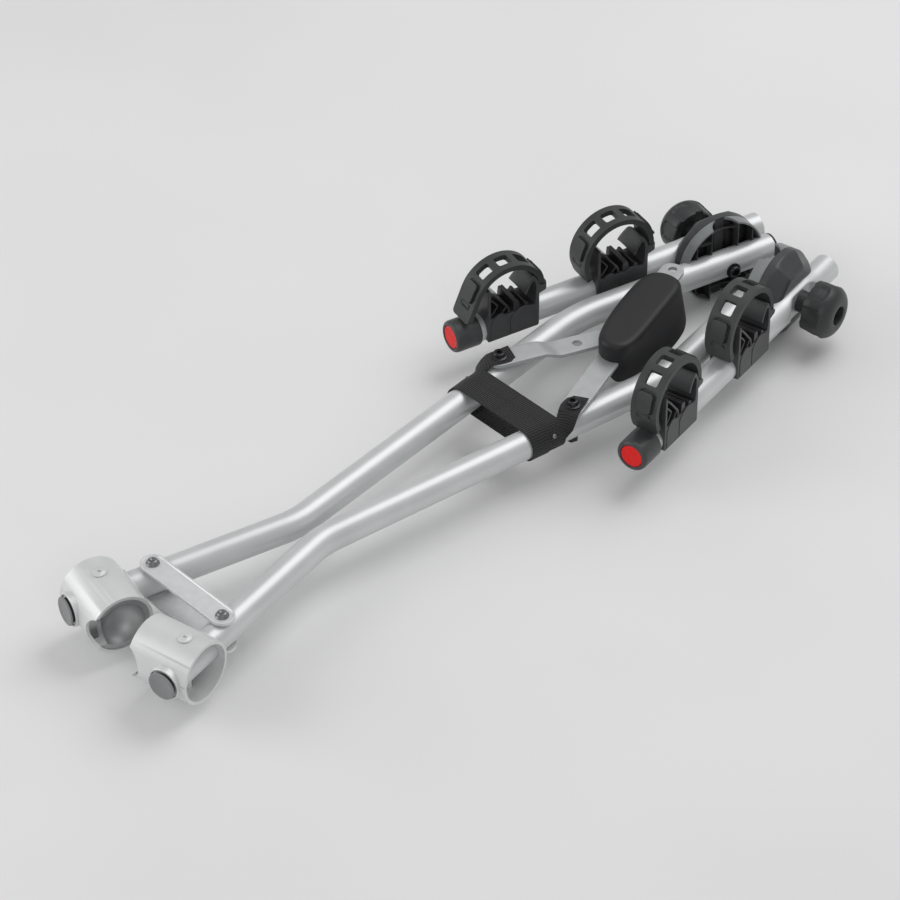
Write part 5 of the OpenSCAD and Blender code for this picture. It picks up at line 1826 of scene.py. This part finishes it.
@dataclass
class Studio:
    """Floor, lamps, world and camera."""

    azimuth: float = 47.03
    elevation: float = 39.54
    distance: float = 3.865
    target: Point3 = (0.00163, -0.03305, 0.049)
    lens: float = 154.9
    lamps: tuple[tuple[str, Point3, float, float], ...] = field(default=(
        ("lamp_top", (0.15, 1.4, 2.3), 2.0, 30.0),
        ("lamp_front", (1.7, -1.5, 1.4), 1.2, 6.0),
        ("lamp_left", (-1.5, -1.8, 1.1), 1.6, 19.0)))

    def build(self) -> None:
        """Makes the whole studio."""
        self.floor()
        self.world()
        for name, at, size, power in self.lamps:
            self.lamp(name, at, size, power)
        self.camera()

    def floor(self) -> None:
        """Makes the pale floor that keeps the object's shadow."""
        mesh = bpy.data.meshes.new("floor")
        mesh.from_pydata([(-30, -30, 0), (30, -30, 0), (30, 30, 0), (-30, 30, 0)], [], [(0, 1, 2, 3)])
        floor = bpy.data.objects.new("floor", mesh)
        bpy.context.scene.collection.objects.link(floor)
        recipe = Recipe("floor_paper")
        tone = recipe.blend(recipe.noise(3, 2).ramp(0.3, 0.7), (0.80, 0.80, 0.80), (0.82, 0.82, 0.82))
        mesh.materials.append(recipe.dress({"Base Color": tone, "Roughness": 0.9, "Specular IOR Level": 0.1}))
        floor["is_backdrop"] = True

    def world(self) -> None:
        """Lights the scene plainly, and shows the camera a pale background."""
        world = bpy.data.worlds.new("studio")
        bpy.context.scene.world = world
        world.use_nodes = True
        tree = world.node_tree
        tree.nodes.clear()
        path = tree.nodes.new("ShaderNodeLightPath")
        seen = tree.nodes.new("ShaderNodeMath")
        seen.operation = "ADD"
        tree.links.new(path.outputs["Is Camera Ray"], seen.inputs[0])
        tree.links.new(path.outputs["Is Transmission Ray"], seen.inputs[1])
        seen.use_clamp = True
        shown = tree.nodes.new("ShaderNodeBackground")
        shown.inputs["Color"].default_value = (0.90, 0.90, 0.90, 1)
        shown.inputs["Strength"].default_value = 1.0
        light = tree.nodes.new("ShaderNodeBackground")
        light.inputs["Color"].default_value = (1, 1, 1, 1)
        light.inputs["Strength"].default_value = 0.45
        mix = tree.nodes.new("ShaderNodeMixShader")
        out = tree.nodes.new("ShaderNodeOutputWorld")
        tree.links.new(seen.outputs[0], mix.inputs[0])
        tree.links.new(light.outputs[0], mix.inputs[1])
        tree.links.new(shown.outputs[0], mix.inputs[2])
        tree.links.new(mix.outputs[0], out.inputs["Surface"])

    def lamp(self, name: str, at: Point3, size: float, power: float) -> None:
        """Hangs one soft square lamp that points at the rack."""
        data = bpy.data.lights.new(name, "AREA")
        data.size = size
        data.energy = power
        lamp = bpy.data.objects.new(name, data)
        bpy.context.scene.collection.objects.link(lamp)
        lamp.location = at
        lamp.rotation_euler = (Vector((0, 0, 0)) - Vector(at)).to_track_quat("-Z", "Y").to_euler()

    def camera(self) -> None:
        """Sets the camera where the photograph was taken from."""
        data = bpy.data.cameras.new("camera")
        data.lens = self.lens
        data.sensor_width = 36.0
        data.clip_end = 100.0
        camera = bpy.data.objects.new("camera", data)
        bpy.context.scene.collection.objects.link(camera)
        az, el = math.radians(self.azimuth), math.radians(self.elevation)
        way = Vector((math.cos(el) * math.sin(az), -math.cos(el) * math.cos(az), math.sin(el)))
        camera.location = Vector(self.target) + way * self.distance
        camera.rotation_euler = (-way).to_track_quat("-Z", "Y").to_euler()
        bpy.context.scene.camera = camera


def dress_cups(nodes: dict[str, bpy.types.Object]) -> None:
    """Gives the carried-over pressed cups their plating."""
    for side in Side:
        cup = nodes[f"ball_cup_{side.tag}"]
        cup.data.materials.clear()
        cup.data.materials.append(CUP.material())


def corners() -> list[list[float]]:
    """The whole object's box as plain lists."""
    return [[float(c) for c in corner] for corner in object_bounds()]


def main() -> None:
    """Loads the frame, builds every sub-assembly around it and lights it."""
    logging.basicConfig(level=logging.INFO, format="%(message)s")
    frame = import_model()
    bpy.context.scene.view_settings.view_transform = "Standard"
    dress_cups(frame["nodes"])
    for part in (Legs(), BallClamp(), LinkPlates(), Toggle(), Grip(), Webbing(), Hinge(), Arm(), Studio()):
        part.build()


if __name__ == "__main__":
    main()
